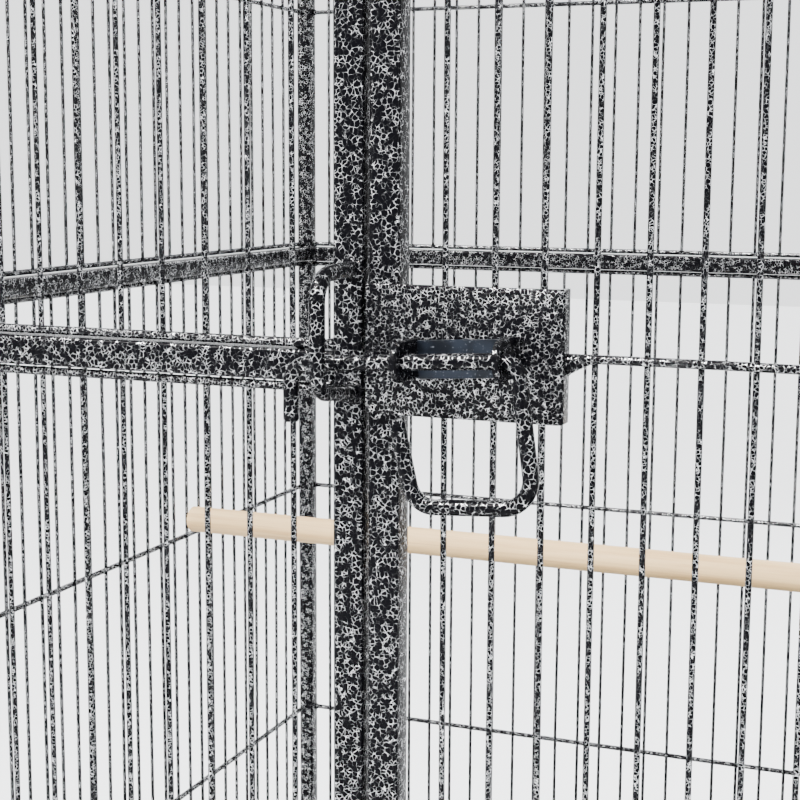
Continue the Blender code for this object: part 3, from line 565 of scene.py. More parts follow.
def front_wall(label, side):
    """Fixed front mesh on one side of the door, with the door's post."""
    node = "front_" + label + "_panel"
    tubes, welds = Shape(), Shape()
    post = side * (POST_IN + HALF)
    tubes.tube((post, FRONT_PLANE, left_low.z), (post, FRONT_PLANE, left_high.z), TUBE, TUBE_CORNER)
    near, far = side * POST_OUT, side * IN_X
    for z in RAILS[1:]:
        tubes.tube((near, FRONT_PLANE, z), (far, FRONT_PLANE, z), TUBE, TUBE_CORNER)
        for x in (near, far - side * 0.0004):
            front_seams(welds, x, z)
    coated(node + "_frame", tubes, replaces=(node,))
    places = [side * (POST_OUT + 0.0158 + i * PITCH) for i in range(17)]
    span = sorted((near, far - side * 0.0004))
    for rods in tiers(node, places, front_spot, span, Vector((0, -1, 0))):
        for k, z in enumerate(rods):
            for x in (near + side * 0.0006, far - side * 0.0008):
                welds.blob((x, FRONT_PLANE - 0.002, z), (0.0022, 0.0018, 0.0020), k + x * 9)
    if side < 0:
        # a run of weld along the rod over the middle rail, beside the latch's post
        lump, y = MID_Z + ROD_TO_RAIL, FRONT_PLANE - 0.0022
        bead(welds, (near - 0.0125, y, lump - 0.0004), (near - 0.001, y, lump), 0.0017, 5)
    coated(node + "_welds", welds)


def infill(node):
    """Fixed mesh below or above the door."""
    low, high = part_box(node)
    tubes, welds = Shape(), Shape()
    for z in (low.z + HALF, high.z - HALF):
        tubes.tube((low.x, FRONT_PLANE, z), (high.x, FRONT_PLANE, z), TUBE, TUBE_CORNER)
        for x in (low.x + 0.0003, high.x - 0.0003):
            front_seams(welds, x, z)
    coated(node + "_rails", tubes, replaces=(node,))
    rods, ends = tier_rods(low.z + HALF, high.z - HALF, STIFFENERS)
    span = (low.x, high.x)
    made = mesh_field(centred(DOOR_WIRES, PITCH), front_spot, ends, rods, span, Vector((0, -1, 0)))
    coated(node + "_wires", made[0], coat=WIRE_COAT)
    coated(node + "_rods", made[1], coat=WIRE_COAT)
    coated(node + "_welds", welds)


def roof():
    low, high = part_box("roof_panel")
    z = (low.z + high.z) / 2
    edge, wires = Shape(), Shape()
    radius = 0.0028
    out_x, out_y = high.x - radius, high.y - radius
    edge.rod(loop([(s * out_x, t * out_y, z) for s, t in QUARTERS], 0.006), radius, 10, closed=True)
    for y in (-high.y / 3, high.y / 3):
        edge.rod([(-out_x, y, z + 0.0024), (out_x, y, z + 0.0024)], ROD_R)
    for x in centred(57, PITCH):
        off = [Vector((chance.uniform(-1, 1), 0, chance.uniform(-1, 1))) * 0.0002 for _ in range(5)]
        wires.rod([Vector((x, -out_y + 2 * out_y * i / 4, z)) + off[i] for i in range(5)], WIRE_R, 8)
    coated("roof_edge_rods", edge, replaces=("roof_panel",))
    coated("roof_wires", wires, coat=WIRE_COAT)


# ---- door and latch -------------------------------------------------------------------------
plate_low, plate_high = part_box("latch_plate")
bolt_low, bolt_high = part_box("latch_bolt")
staple_low, staple_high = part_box("keeper_staple")
LATCH_X = -POST_OUT + 0.00035
BOLT_Y = (bolt_low.y + bolt_high.y) / 2
BOLT_RISE = 0.0593          # the bolt and its bracket slope up to the right
BRACKET = (LATCH_X + 0.0274, LATCH_X + 0.0606)
BRACKET_MIDDLE = (BRACKET[0] + BRACKET[1]) / 2
EAR_NOSE = 0.0061
DOOR_ROD_Z = MID_Z + 0.0062


def bolt_height(x):
    return MID_Z + 0.0031 + (x - LATCH_X) * BOLT_RISE


def tilted(shape):
    """Turns what was built square to the frame so that it follows the bolt's slope."""
    pivot = Vector((BRACKET_MIDDLE, BOLT_Y, bolt_height(BRACKET_MIDDLE)))
    turn = Matrix.Rotation(-math.atan(BOLT_RISE), 3, "Y")
    shape.verts = [turn @ (v - pivot) + pivot for v in shape.verts]
    return shape


def door():
    tubes, welds = Shape(), Shape()
    for side in (-1, 1):
        x = side * (DOOR_X - HALF)
        tubes.tube((x, FRONT_PLANE, door_low.z), (x, FRONT_PLANE, door_high.z), TUBE, TUBE_CORNER)
    inner = DOOR_X - TUBE
    for z in (door_low.z + HALF, door_high.z - HALF):
        tubes.tube((-inner, FRONT_PLANE, z), (inner, FRONT_PLANE, z), TUBE, TUBE_CORNER)
        for x in (-inner, inner):
            front_seams(welds, x, z)
    coated("door_frame", tubes, "door", ("door_panel",))
    rods, ends = tier_rods(door_low.z + HALF, door_high.z - HALF, (MID_Z - BAY, MID_Z + BAY))
    places = centred(DOOR_WIRES, PITCH)
    wires, cross = mesh_field(places, front_spot, ends, rods, (-inner, inner), Vector((0, -1, 0)))
    # the rod at the latch, a little uneven, from the plate to the far stile
    y = FRONT_PLANE - WIRE_R - ROD_R + 0.0003
    start = plate_high.x + 0.0002
    shift = (0.0, 0.0001, -0.0001, 0.0002, 0.0, -0.0001, 0.0)
    path = [Vector((start + (inner - start) * i / 6, y, DOOR_ROD_Z + off)) for i, off in enumerate(shift)]
    cross.rod(path, ROD_R * 0.93, 12)
    for x in places:
        if x > start:
            cross.blob((x, y + 0.0013, DOOR_ROD_Z), (0.0015, 0.0014, 0.0014), x * 90, 8, 4)
    coated("door_wires", wires, "door", coat=WIRE_COAT)
    coated("door_cross_rods", cross, "door", coat=WIRE_COAT)
    # a tapering run of weld ties the rod to the plate's flange and hangs a little below it
    for i in range(9):
        share = i / 8
        size = 0.0022 * (1 - share) ** 1.2 + 0.0010
        spot = (start + 0.0004 + share * 0.0085, y - 0.0001, DOOR_ROD_Z - 0.0018 * (1 - share) ** 1.6)
        welds.blob(spot, (0.0015, size * 0.8, size), i * 2.7, 12, 8)
    coated("door_welds", welds, "door")


def latch_plate():
    """Plate whose right edge is folded back; the fold has a real radius."""
    fold = 0.0022               # outer radius of the fold
    front, right = plate_low.y + PLATE / 2, plate_high.x - PLATE / 2
    line = bend([(plate_low.x, front, 0), (right, front, 0), (right, plate_high.y, 0)], fold - PLATE / 2, 6)
    edge = 0.0003
    shape = Shape()
    rings = []
    low, high = plate_low.z, plate_high.z
    last = len(line) - 1
    for z, shrink in ((low, edge), (low + edge, 0), (high - edge, 0), (high, edge)):
        left, right = [], []
        for i, spot in enumerate(line):
            ahead = (line[min(i + 1, last)] - line[max(i - 1, 0)]).normalized()
            aside = Vector((ahead.y, -ahead.x, 0)) * (PLATE / 2 - shrink)
            trim = ahead * (shrink if i == 0 else -shrink if i == last else 0)
            left.append(spot + aside + trim + UP * z)
            right.append(spot - aside + trim + UP * z)
        rings.append(left + right[::-1])
    shape.rings(rings)
    coated("latch_plate_sheet", shape, "door", ("latch_plate",), PLATE_COAT, sharp=50)


def ear(shape, low, high, back, middle):
    """A bracket ear: straight sides, a half-round front and a drilled hole for the bolt."""
    bore = BOLT_R + 0.0005
    edge, mouth = 0.00045, 0.0003   # easing of the rim and of the hole
    outer, inner = [], []
    front, rear = 24, 14            # points round the nose and along the back
    for i in range(front + 1):
        angle = math.pi / 2 + math.pi * i / front
        outer.append((BOLT_Y + EAR_NOSE * math.cos(angle), middle + EAR_NOSE * math.sin(angle)))
    for i in range(1, rear):
        share = i / rear
        outer.append((back, middle - EAR_NOSE * math.cos(math.pi * share)))
    centre = Vector((BOLT_Y, middle))
    for point in outer:
        way = (Vector(point) - centre).normalized()
        inner.append((centre.x + way.x * bore, centre.y + way.y * bore))
    loops = []
    for x, shrink in ((low, edge), (low + edge, 0), (high - edge, 0), (high, edge)):
        ring = []
        for point in outer:
            away = (Vector(point) - centre).normalized() * shrink
            ring.append(Vector((x, point[0] - away.x, point[1] - away.y)))
        loops.append(ring)
    for x, ease in ((high, mouth), (high - mouth, 0), (low + mouth, 0), (low, mouth)):
        grow = 1 + ease / bore
        loops.append([Vector((x, centre.x + (p[0] - centre.x) * grow, centre.y + (p[1] - centre.y) * grow))
                      for p in inner])
    shape.rings([[ring[i] for ring in loops] for i in range(len(outer))], closed=True)


def latch_bracket():
    """Channel that carries the bolt: smooth dark inside, coated ears; the inside's near black and the ears'
    darker coat are partly painted shade.
    """
    web, ears = Shape(), Shape()
    back = plate_low.y - 0.0003
    middle = bolt_height(BRACKET_MIDDLE)
    outline = rounded(BRACKET[1] - BRACKET[0] - 0.0012, 2 * EAR_NOSE - 0.0006, 0.0010)
    drop = 0.0006               # the web sits a little low behind the bolt
    web.slab([(BRACKET_MIDDLE + u, middle + v - drop) for u, v in outline], back - PLATE, back, 1, 0.0003)
    # The web's near black is partly painted shade of the recess behind the bolt.
    finish_piece("latch_bracket_web", tilted(web), BRACKET_PAINT_AND_SHADE, "door", ("latch_bracket",))
    for x in (BRACKET[0], BRACKET[1] - EAR):
        ear(ears, x, x + EAR, back - 0.0001, middle)
    y, reach = back - 0.0004, EAR_NOSE * 0.8
    for x in (BRACKET[0] - 0.0001, BRACKET[1] + 0.0001):
        bead(ears, (x, y, middle - reach), (x, y, middle + reach), 0.0009, x * 70)
    # The ears' darker coat is partly painted shade.
    finish_piece("latch_bracket_ears", tilted(ears), EAR_COAT_AND_SHADE, "door")


def latch_bolt():
    """The bent rod: hook, bolt and handle in one."""
    hook_x = LATCH_X - 0.0068
    corners = [(hook_x, BOLT_Y, MID_Z - 0.0149), (hook_x, BOLT_Y, bolt_height(hook_x))]
    for x, z in ((0.0645, 0.0069), (0.0704, -0.0358), (0.0333, -0.0380), (0.0274, -0.0121)):
        corners.append((LATCH_X + x, BOLT_Y, MID_Z + z))
    path = bend(corners, (0.0062, 0.0052, 0.0088, 0.0075), 10)
    fine = []
    for start, end in zip(path, path[1:]):
        steps = max(1, int((end - start).length / 0.003))
        fine += [start.lerp(end, i / steps) for i in range(steps)]
    fine.append(path[-1])
    fine.insert(1, fine[0].lerp(fine[1], 0.2))
    fine.insert(-1, fine[-1].lerp(fine[-2], 0.2))
    scales = [0.86] + [1.0] * (len(fine) - 2) + [0.86]
    shape = Shape()
    shape.rod(fine, BOLT_R, 24, scales)
    coated("latch_bolt_rod", shape, "bolt", ("latch_bolt",))


def keeper():
    x = (staple_low.x + staple_high.x) / 2
    root = staple_high.y
    front = staple_low.y + BOLT_R
    spots = ((root, 0.0308), (front, 0.0301), (front, -0.0044), (root, -0.0072))
    shape = Shape()
    shape.rod(bend([(x, y, MID_Z + z) for y, z in spots], (0.0085, 0.0070), 12), BOLT_R, 24)
    lumps, around = 12, BOLT_R * 1.05
    for z in (spots[0][1], spots[3][1]):
        for i in range(lumps):
            angle = 2 * math.pi * i / lumps
            spot = (x + around * math.cos(angle), root - 0.0003, MID_Z + z + around * math.sin(angle))
            shape.blob(spot, (0.0012, 0.0011, 0.0012), i + z * 900, 8, 5)
    coated("keeper_staple_rod", shape, replaces=("keeper_staple",))


def hinges():
    for name in ("lower", "upper"):
        for owner, body in (("post", "root"), ("door", "door")):
            node = "hinge_" + name + "_" + owner + "_knuckle"
            low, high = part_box(node)
            centre = (low + high) / 2
            radius, long = (high.x - low.x) / 2, high.z - low.z
            bore, ease = 0.0017, 0.0004
            outline = [(bore, 0), (radius - ease, 0), (radius, ease), (radius, long - ease),
                       (radius - ease, long), (bore, long)]
            shape = Shape()
            shape.turned(outline, (centre.x, centre.y, low.z), UP, 28)
            side = 1 if owner == "post" else -1
            x = centre.x + side * 0.0031
            y = FRONT - 0.0006
            bead(shape, (x, y, low.z + 0.002), (x, y, high.z - 0.002), SEAM, low.z * 9)
            coated(node + "_turned", shape, body, (node,))
        node = "hinge_" + name + "_pin"
        low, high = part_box(node)
        centre = (low + high) / 2
        radius, head = 0.0015, 0.0026
        under = high.z - 0.0012
        shape = Shape()
        outline = [(AXIS, low.z), (radius * 0.7, low.z), (radius, low.z + 0.0005), (radius, under),
                   (head, under), (head, high.z - 0.0005), (0.0018, high.z), (AXIS, high.z)]
        shape.turned(outline, (centre.x, centre.y, 0), UP, 24)
        finish_piece(node + "_turned", shape, ZINC, "root", (node,))


# ---- tray, grate, feeders, perches ----------------------------------------------------------
def shell(shape, levels):
    """An open box lofted through rounded rectangles, up the outside and down the inside.

    Each level is (x0, x1, y0, y1, z, corner).
    """
    rings = []
    for x0, x1, y0, y1, z, corner in levels:
        ring = rounded(x1 - x0, y1 - y0, corner, 5)
        rings.append([Vector(((x0 + x1) / 2 + u, (y0 + y1) / 2 + v, z)) for u, v in ring])
    shape.rings(rings)


PULL_REACH = 0.012          # how far the pulls of tray and grate stand out


def inset(box, by, z, corner):
    """A level of a shell, drawn in on all sides."""
    x0, x1, y0, y1 = box
    return x0 + by, x1 - by, y0 + by, y1 - by, z, corner


def tray():
    low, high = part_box("slide_out_tray")
    y0 = low.y + PULL_REACH
    t = SHEET
    x0, x1, y1, z0, z1 = low.x, high.x, high.y, low.z, high.z
    shape = Shape()
    outside = ((0.003, z0, 0.003), (0.0008, z0 + 0.0008, 0.0035),
               (0, z0 + 0.003, 0.004), (0, z1 - 0.0004, 0.004))
    inside = ((t, z1 - 0.0002, 0.003), (t, z0 + 0.003, 0.003), (0.004, z0 + t, 0.002))
    levels = outside + ((0.0004, z1, 0.0038),) + inside
    shell(shape, [inset((x0, x1, y0, y1), *level) for level in levels])
    front, top = low.y + t / 2, z1 - t / 2
    pull = Shape()
    pull.sweep(bend([(0, y0, top), (0, front, top), (0, front, z1 - 0.008)], 0.0022, 6),
               rounded(0.090, t, SHEET_EDGE), Vector((1, 0, 0)))
    coated("tray_pan", shape, "tray", ("slide_out_tray",))
    coated("tray_pull_lip", pull, "tray")


def grate():
    low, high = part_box("slide_out_grate")
    radius = (high.z - low.z) / 2
    x, z = high.x - radius, (low.z + high.z) / 2
    near, far = low.y + PULL_REACH + radius, high.y - radius
    edge, wires = Shape(), Shape()
    edge.rod(loop([(x, far, z), (-x, far, z), (-x, near, z), (x, near, z)], 0.008), radius, 12, closed=True)
    wide, out = 0.043, low.y + radius
    edge.rod(bend([(-wide, near, z), (-wide, out, z), (wide, out, z), (wide, near, z)], 0.006), radius, 12)
    for y in (near + (far - near) / 3, near + (far - near) * 2 / 3):
        edge.rod([(-x, y, z - 0.0005), (x, y, z - 0.0005)], ROD_R)
    for place_at in centred(57, PITCH):
        wires.rod([(place_at, near, z + 0.0006), (place_at, far, z + 0.0006)], WIRE_R, 8)
    coated("grate_edge_rods", edge, "grate", ("slide_out_grate",))
    coated("grate_wires", wires, "grate", coat=WIRE_COAT)


def runners():
    ledges = ((0.5287, 0.020), (0.5642, 0.013))     # height and reach: for the tray and the grate
    for label, side in (("left", -1), ("right", 1)):
        node = "tray_runner_" + label
        low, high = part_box(node)
        outer = high.x if side > 0 else low.x
        shape = Shape()
        x, middle = outer - side * SHEET / 2, (low.z + high.z) / 2
        shape.tube((x, low.y, middle), (x, high.y, middle), high.z - low.z, SHEET_EDGE, SHEET)
        for z, reach in ledges:
            x, deep = outer - side * (SHEET + reach) / 2, reach - SHEET
            level = z - SHEET / 2
            shape.tube((x, low.y, level), (x, high.y, level), SHEET, SHEET_EDGE, deep)
        coated(node + "_strip", shape, replaces=(node,))


def feeder_gate(label, inside):
    """Lift-up gate of rods with a small pull; inside are its wires' places."""
    node = "feeder_door_" + label
    low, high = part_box(node)
    x, middle = (low.x + high.x) / 2, (low.y + high.y) / 2
    y0, y1, z0, z1 = low.y + ROD_R, high.y - ROD_R, low.z + ROD_R, high.z - ROD_R
    gate = Shape()
    gate.rod(loop([(x, y1, z1), (x, y0, z1), (x, y0, z0), (x, y1, z0)], 0.005), ROD_R, 12, closed=True)
    for y in inside:
        gate.rod([(x, y, z0), (x, y, z1)], WIRE_R, 10)
        for z in (z0, z1):
            gate.blob((x, y, z), (0.0017, 0.0016, 0.0017), y * 50 + z, 8, 5)
    near, far, top = middle - 0.012, middle + 0.012, z1 + 0.011
    gate.rod(bend([(x, near, z1), (x, near, top), (x, far, top), (x, far, z1)], 0.006), 0.0013, 10)
    coated(node + "_rods", gate, "feeder_gate_" + label, (node,), WIRE_COAT)


def feeder_cup(label, side):
    """Moulded cup with a rolled rim, and the tab that hooks over the floor rail."""
    node = "feeder_cup_" + label
    low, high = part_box(node)
    inner = low.x if side > 0 else high.x
    wall = inner + side * 0.060
    x0, x1 = sorted((inner, wall))
    t, c = 0.0022, 0.010        # wall thickness, corner radius
    y0, y1, z0, z1 = low.y, high.y, low.z, high.z
    cup = Shape()
    shell(cup, [
        (x0 + 0.006, x1 - 0.003, y0 + 0.006, y1 - 0.006, z0, c * 0.6),
        (x0 + 0.003, x1 - 0.0015, y0 + 0.003, y1 - 0.003, z0 + 0.001, c * 0.8),
        (x0 + 0.0022, x1, y0 + 0.0022, y1 - 0.0022, z0 + 0.006, c),
        (x0 + 0.0010, x1, y0 + 0.0010, y1 - 0.0010, z1 - 0.0035, c),
        (x0, x1, y0, y1, z1 - 0.0028, c), (x0, x1, y0, y1, z1 - 0.0008, c),
        (x0 + 0.0008, x1 - 0.0008, y0 + 0.0008, y1 - 0.0008, z1, c * 0.95),
        (x0 + t + 0.0010, x1 - t, y0 + t + 0.001, y1 - t - 0.001, z1 - 0.0010, c * 0.85),
        (x0 + t + 0.0022, x1 - t, y0 + t + 0.002, y1 - t - 0.002, z0 + 0.008, c * 0.8),
        (x0 + 0.008, x1 - 0.006, y0 + 0.008, y1 - 0.008, z0 + t, c * 0.5),
    ])
    finish_piece(node + "_bowl", cup, CUP, "root", (node,))
    tab = Shape()
    y, z = (y0 + y1) / 2, z0 + t / 2
    run = [Vector((wall - side * 0.001, y, z)), Vector((wall + side * 0.0065, y, z))]
    tab.sweep(run, rounded(0.058, t * 0.9, 0.0006), Vector((0, 1, 0)))
    finish_piece(node + "_hook", tab, CUP, "root")


def feeders():
    inside = centred(SIDE_WIRES, PITCH)[FEEDER_WIRES[0] + 1:FEEDER_WIRES[1]]
    for label, side in (("left", -1), ("right", 1)):
        feeder_gate(label, inside)
        feeder_cup(label, side)


def perches():
    for node in ("perch_lower", "perch_upper"):
        low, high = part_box(node)
        radius = (high.z - low.z) / 2 * 1.008
        y, z = (low.y + high.y) / 2, (low.z + high.z) / 2
        path, scales = [], []
        count = 46
        for i in range(count + 1):
            share = i / count
            aside = noise.noise(Vector((share * 3, y * 10, 0)))
            sway = Vector((0, aside, noise.noise(Vector((share * 3, 5, z)))))
            path.append(Vector((low.x + (high.x - low.x) * share, y, z)) + sway * 0.0004)
            scales.append(1 + 0.008 * noise.noise(Vector((share * 9, z, 2))))
        path.insert(1, path[0] + Vector((0.0008, 0, 0)))
        path.insert(-1, path[-1] - Vector((0.0008, 0, 0)))
        scales = [0.90] + scales + [0.90]
        shape = Shape()
        shape.rod(path, radius * 0.985, 32, scales)
        finish_piece(node + "_dowel", shape, WOOD, "root", (node,))


# ---- stand ----------------------------------------------------------------------------------
def screw(shape, centre, axis):
    """A pan-head screw with a washer under it."""
    radius = 0.0042
    outline = [(AXIS, -0.0004), (radius * 1.45, -0.0004), (radius * 1.5, 0.0003), (radius * 1.4, 0.0008),
               (radius, 0.0009), (radius * 0.98, 0.0018), (radius * 0.75, 0.0028), (radius * 0.35, 0.0032),
               (radius * 0.25, 0.0020), (AXIS, 0.0019)]
    shape.turned(outline, centre, axis, 24)


def hollow(shape, start, end, size):
    """A square tube with open ends: outside, rim and inside."""
    corner, wall = STAND_CORNER, SHEET
    start, end = Vector(start), Vector(end)
    ahead = (end - start).normalized()
    normal = UP if abs(ahead.z) < 0.5 else Vector((1, 0, 0))
    across = ahead.cross(normal)
    outer, inner = rounded(size, size, corner), rounded(size - 2 * wall, size - 2 * wall, corner * 0.6)
    runs = ((outer, start), (outer, end), (inner, end), (inner, start))
    shape.rings([[spot + u * normal + v * across for u, v in flat] for flat, spot in runs], closed=True)


CORNERS = (("front_left", -1, -1), ("front_right", 1, -1), ("back_left", -1, 1), ("back_right", 1, 1))


def stand():
    hardware = Shape()
    shelf_low, shelf_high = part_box("storage_shelf")
    for label, sx, sy in CORNERS:
        node = "stand_leg_" + label
        low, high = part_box(node)
        x, y = (low.x + high.x) / 2, (low.y + high.y) / 2
        shape = Shape()
        hollow(shape, (x, y, low.z), (x, y, high.z), high.x - low.x)
        coated(node + "_tube", shape, replaces=(node,))
        face_x, face_y = x + sx * (high.x - low.x) / 2, y + sy * (high.x - low.x) / 2
        top = high.z - 0.0100
        for z in (top, (shelf_low.z + shelf_high.z) / 2):
            screw(hardware, (face_x, y, z), (sx, 0, 0))
        screw(hardware, (x, face_y, top), (0, sy, 0))
    finish_piece("stand_screws", hardware, ZINC, "root")
    for label in ("front", "back", "left", "right"):
        node = "stand_rail_" + label
        low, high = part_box(node)
        centre = (low + high) / 2
        axis = 0 if label in ("front", "back") else 1
        start, end = centre.copy(), centre.copy()
        start[axis], end[axis] = low[axis], high[axis]
        shape = Shape()
        hollow(shape, start, end, high.z - low.z)
        coated(node + "_tube", shape, replaces=(node,))
    rail = Shape()
    rail.tube((rail_low.x, FRONT_PLANE, BASE_Z), (rail_high.x, FRONT_PLANE, BASE_Z), TUBE, TUBE_CORNER)
    coated("base_front_tube", rail, replaces=("base_front_rail",))


def shelf():
    low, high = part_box("storage_shelf")
    size = high.z - low.z
    z = (low.z + high.z) / 2
    edge, wires = Shape(), Shape()
    for y in (low.y + size / 2, high.y - size / 2):
        edge.tube((low.x, y, z), (high.x, y, z), size, 0.0018)
    for x in (low.x + size / 2, high.x - size / 2):
        edge.tube((x, low.y + size, z), (x, high.y - size, z), size, 0.0018)
    top = high.z - 0.0018
    for x in centred(28, 2 * PITCH):
        wires.rod([(x, low.y + size * 0.6, top), (x, high.y - size * 0.6, top)], WIRE_R * 1.15, 10)
    for y in (low.y / 3, high.y / 3):
        wires.rod([(low.x + size * 0.6, y, top - 0.0024), (high.x - size * 0.6, y, top - 0.0024)], ROD_R)
    coated("shelf_edge_tubes", edge, replaces=("storage_shelf",))
    coated("shelf_wires", wires, coat=WIRE_COAT)


def middle_of(low, high):
    return (low.x + high.x) / 2, (low.y + high.y) / 2


def caster_socket(label):
    """Plug in the leg's foot, its flange and the stem below."""
    node = "caster_socket_" + label
    low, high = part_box(node)
    x, y = middle_of(low, high)
    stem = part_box("caster_fork_" + label)[1].z
    flange = 0.0737
    shape = Shape()
    for size, corner, foot, top in ((0.0200, STAND_CORNER, flange - 0.0034, flange),
                                    (0.0168, 0.0015, flange - 0.001, high.z)):
        shape.slab([(u + x, v + y) for u, v in rounded(size, size, corner)], foot, top, 2, 0.0006)
    neck = flange - 0.003
    shape.turned([(AXIS, stem), (0.0045, stem), (0.0048, neck), (AXIS, neck)], (x, y, 0), UP, 24)
    finish_piece(node + "_plug", shape, MOULDED, "root", (node,))
    return x, y


def caster_fork(label, x, y, hub, sy):
    """Pressed fork: top plate, swivel race and two cheeks that taper to the axle."""
    node = "caster_fork_" + label
    low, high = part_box(node)
    fork = Shape()
    top, sheet = high.z, 0.0022
    outline = rounded(high.x - low.x, high.y - low.y, 0.0050, 6)
    fork.slab([(u + x, v + (low.y + high.y) / 2) for u, v in outline], top - 0.0025, top, 2, 0.0005)
    under, over = top - 0.0040, top + 0.0002
    fork.turned([(AXIS, under), (0.0095, under), (0.0105, top - 0.0028), (0.0100, top), (0.0070, over),
                 (AXIS, over)], (x, y, 0), UP, 28)
    near, far = y - sy * 0.0125, hub.y + sy * 0.0066
    for side in (-1, 1):
        cheek = [(near, top - 0.001), (near, 0.046)]
        for i in range(9):
            angle = math.pi * (1.12 - 1.12 * i / 8)
            cheek.append((hub.y - sy * 0.0066 * math.cos(math.pi - angle), hub.z - 0.0072 * math.sin(angle)))
        cheek += [(far, hub.z + 0.004), (far, top - 0.001)]
        reach = abs(high.x - x)
        a, b = sorted((x + side * (reach - sheet), x + side * reach))
        fork.slab(cheek, a, b, 0, 0.0003)
    finish_piece(node + "_sheet", fork, ZINC, "caster_" + label, (node,))


def mirrored(profile):
    """A turned outline from its half at negative levels."""
    return profile + [(r, -z) for r, z in reversed(profile)]


def caster_wheel(label, hub):
    """Axle bolt, soft tread and hub."""
    across = (1, 0, 0)
    node = "caster_axle_" + label
    low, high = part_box(node)
    end = -(high.x - low.x) / 2
    axle, tread, core = Shape(), Shape(), Shape()
    axle.turned(mirrored([(AXIS, end), (0.0038, end), (0.0044, end + 0.0005), (0.0044, end + 0.0012),
                          (0.0026, end + 0.0013)]), hub, across, 6)
    finish_piece(node + "_bolt", axle, ZINC, "caster_" + label, (node,))
    node = "caster_wheel_" + label
    low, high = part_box(node)
    radius, end = hub.z, -(high.x - low.x) / 2
    bed = radius - 0.0060
    tread.turned(mirrored([(bed, end), (radius - 0.0022, end), (radius - 0.0008, end + 0.0016),
                           (radius, end + 0.0045)]), hub, across, 64)
    core.turned(mirrored([(0.0033, end), (0.0075, end), (0.0085, end + 0.0035),
                          (radius - 0.0085, end + 0.0040), (bed, end + 0.0006)]), hub, across, 48)
    finish_piece(node + "_tread", tread, RUBBER, "wheel_" + label, (node,))
    finish_piece(node + "_hub", core, HUB, "wheel_" + label)


def brake_pedal(label):
    """Pad with four ribs for the foot."""
    node = "brake_pedal_" + label
    low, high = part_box(node)
    x, y = middle_of(low, high)
    pedal = Shape()
    outline = rounded(high.x - low.x, high.y - low.y, 0.0035, 6)
    pedal.slab([(x + u, y + v) for u, v in outline], low.z, high.z, 2, 0.0008)
    for i in range(4):
        rib = low.y + 0.003 + i * 0.0026
        pedal.rod([(low.x + 0.004, rib, high.z), (high.x - 0.004, rib, high.z)], 0.0006, 8)
    finish_piece(node + "_pad", pedal, MOULDED, "pedal_" + label, (node,))


def caster(label, sy):
    """A swivelling caster; sy is -1 in front, where it has a brake."""
    low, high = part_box("caster_wheel_" + label)
    hub = (low + high) / 2
    x, y = caster_socket(label)
    caster_fork(label, x, y, hub, sy)
    caster_wheel(label, hub)
    if sy < 0:
        brake_pedal(label)


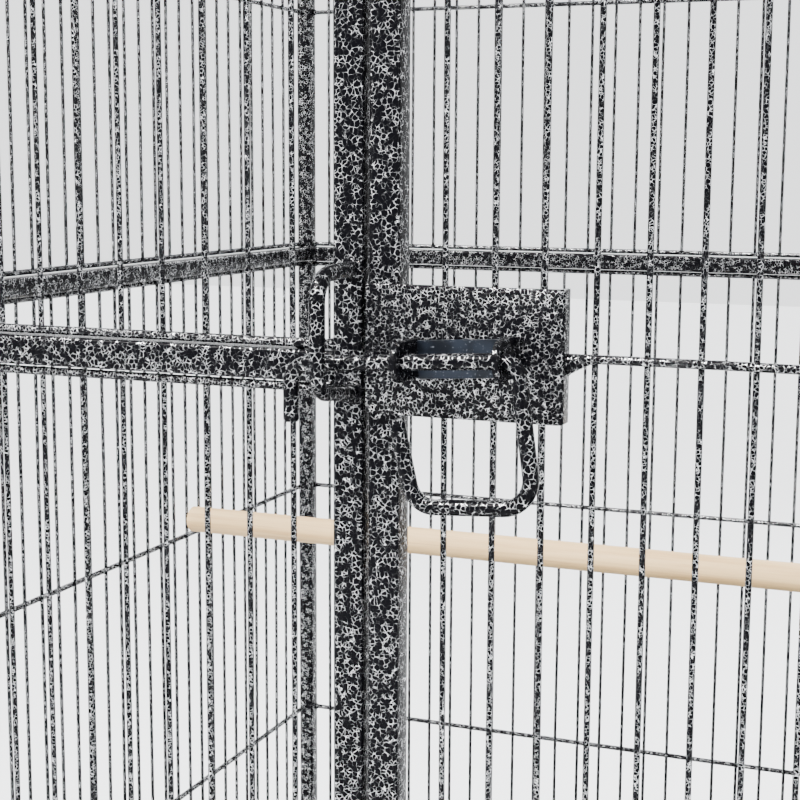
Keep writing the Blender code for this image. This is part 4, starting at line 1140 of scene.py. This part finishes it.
# ---- room, light and camera -----------------------------------------------------------------
def studio():
    world = bpy.data.worlds.new("studio_world")
    bpy.context.scene.world = world
    world.use_nodes = True
    tree = world.node_tree
    sky = tree.nodes["Background"]
    sky.inputs[0].default_value = (0.95, 0.965, 0.98, 1)
    way = tree.nodes.new("ShaderNodeTexCoord").outputs["Generated"]
    parts = tree.nodes.new("ShaderNodeSeparateXYZ")
    tree.links.new(way, parts.inputs[0])
    total = tree.nodes.new("ShaderNodeMath")
    # strength grows from the front to the back, and upwards: (axis, from, to, strength there)
    glows = (("Y", -0.55, 0.30, 1.7, 2.2), ("Z", 0.05, 0.70, 0.0, 1.5))
    for slot, (axis, first, last, low, high) in enumerate(glows):
        glow = tree.nodes.new("ShaderNodeMapRange")
        glow.interpolation_type = "SMOOTHSTEP"
        tree.links.new(parts.outputs[axis], glow.inputs["Value"])
        for key, value in (("From Min", first), ("From Max", last), ("To Min", low), ("To Max", high)):
            glow.inputs[key].default_value = value
        tree.links.new(glow.outputs[0], total.inputs[slot])
    # the backdrop itself is evenly pale, whichever way the light comes from
    backdrop = tree.nodes.new("ShaderNodeMix")
    tree.links.new(tree.nodes.new("ShaderNodeLightPath").outputs["Is Camera Ray"], backdrop.inputs[0])
    tree.links.new(total.outputs[0], backdrop.inputs[2])
    backdrop.inputs[3].default_value = 2.2
    tree.links.new(backdrop.outputs[0], sky.inputs[1])
    mesh = bpy.data.meshes.new("floor")
    reach = 12.0
    mesh.from_pydata([(s * reach, t * reach, 0) for s, t in QUARTERS], [], [(0, 1, 2, 3)])
    floor = bpy.data.objects.new("floor", mesh)
    bpy.context.scene.collection.objects.link(floor)
    n = Nodes("pale_floor")
    cloud = n.noise(n.where, 3.0, 4.0)
    colour = n.mix(cloud, (0.90, 0.90, 0.905, 1), (0.94, 0.945, 0.95, 1))
    mesh.materials.append(n.surface(base_color=colour, roughness=0.8))

    def lamp(name, spot, size, power, tint):
        data = bpy.data.lights.new(name, "AREA")
        data.shape = "RECTANGLE"
        data.size, data.size_y = size
        data.energy = power
        data.color = tint
        made = bpy.data.objects.new(name, data)
        bpy.context.scene.collection.objects.link(made)
        made.location = spot
        made.rotation_euler = (Vector((0, 0, 0.95)) - Vector(spot)).to_track_quat("-Z", "Y").to_euler()

    lamp("top_window", (-0.9, -1.5, 2.85), (1.6, 0.5), 250, (1.0, 0.99, 0.97))
    lamp("front_window", (-2.4, -1.9, 1.6), (1.2, 1.4), 40, (1.0, 0.985, 0.96))
    lamp("side_window", (2.6, -1.6, 1.7), (1.2, 1.8), 40, (0.97, 0.98, 1.0))
    lamp("rear_window", (0.4, 3.2, 2.6), (2.4, 1.6), 90, (0.97, 0.98, 1.0))


def camera():
    """Looks a little down and to the left at the latch, from half a metre in front of it."""
    data = bpy.data.cameras.new("view")
    data.lens = 71.44
    data.sensor_width = 36.0
    data.clip_start = 0.05
    made = bpy.data.objects.new("view", data)
    bpy.context.scene.collection.objects.link(made)
    spot = Vector((LATCH_X + 0.1991, FRONT - 0.4458, MID_Z + 0.06185))
    azimuth, pitch, roll = math.radians(21.63), math.radians(8.39), math.radians(0.28)
    flat = math.cos(pitch)
    ahead = Vector((-math.sin(azimuth) * flat, math.cos(azimuth) * flat, -math.sin(pitch)))
    level = Vector((math.cos(azimuth), math.sin(azimuth), 0))
    rise = level.cross(ahead)
    right = math.cos(roll) * level + math.sin(roll) * rise
    above = right.cross(ahead)
    turn = Matrix((right, above, -ahead)).transposed().to_4x4()
    made.matrix_world = Matrix.Translation(spot) @ turn
    bpy.context.scene.camera = made


for wall, way in (("left", -1), ("right", 1)):
    side_wall(wall, way)
    front_wall(wall, way)
back_wall()
infill("front_sill_panel")
infill("front_header_panel")
roof()
door()
latch_plate()
latch_bracket()
latch_bolt()
keeper()
hinges()
tray()
grate()
runners()
feeders()
perches()
stand()
shelf()
for corner, _, depth_side in CORNERS:
    caster(corner, depth_side)
studio()
camera()
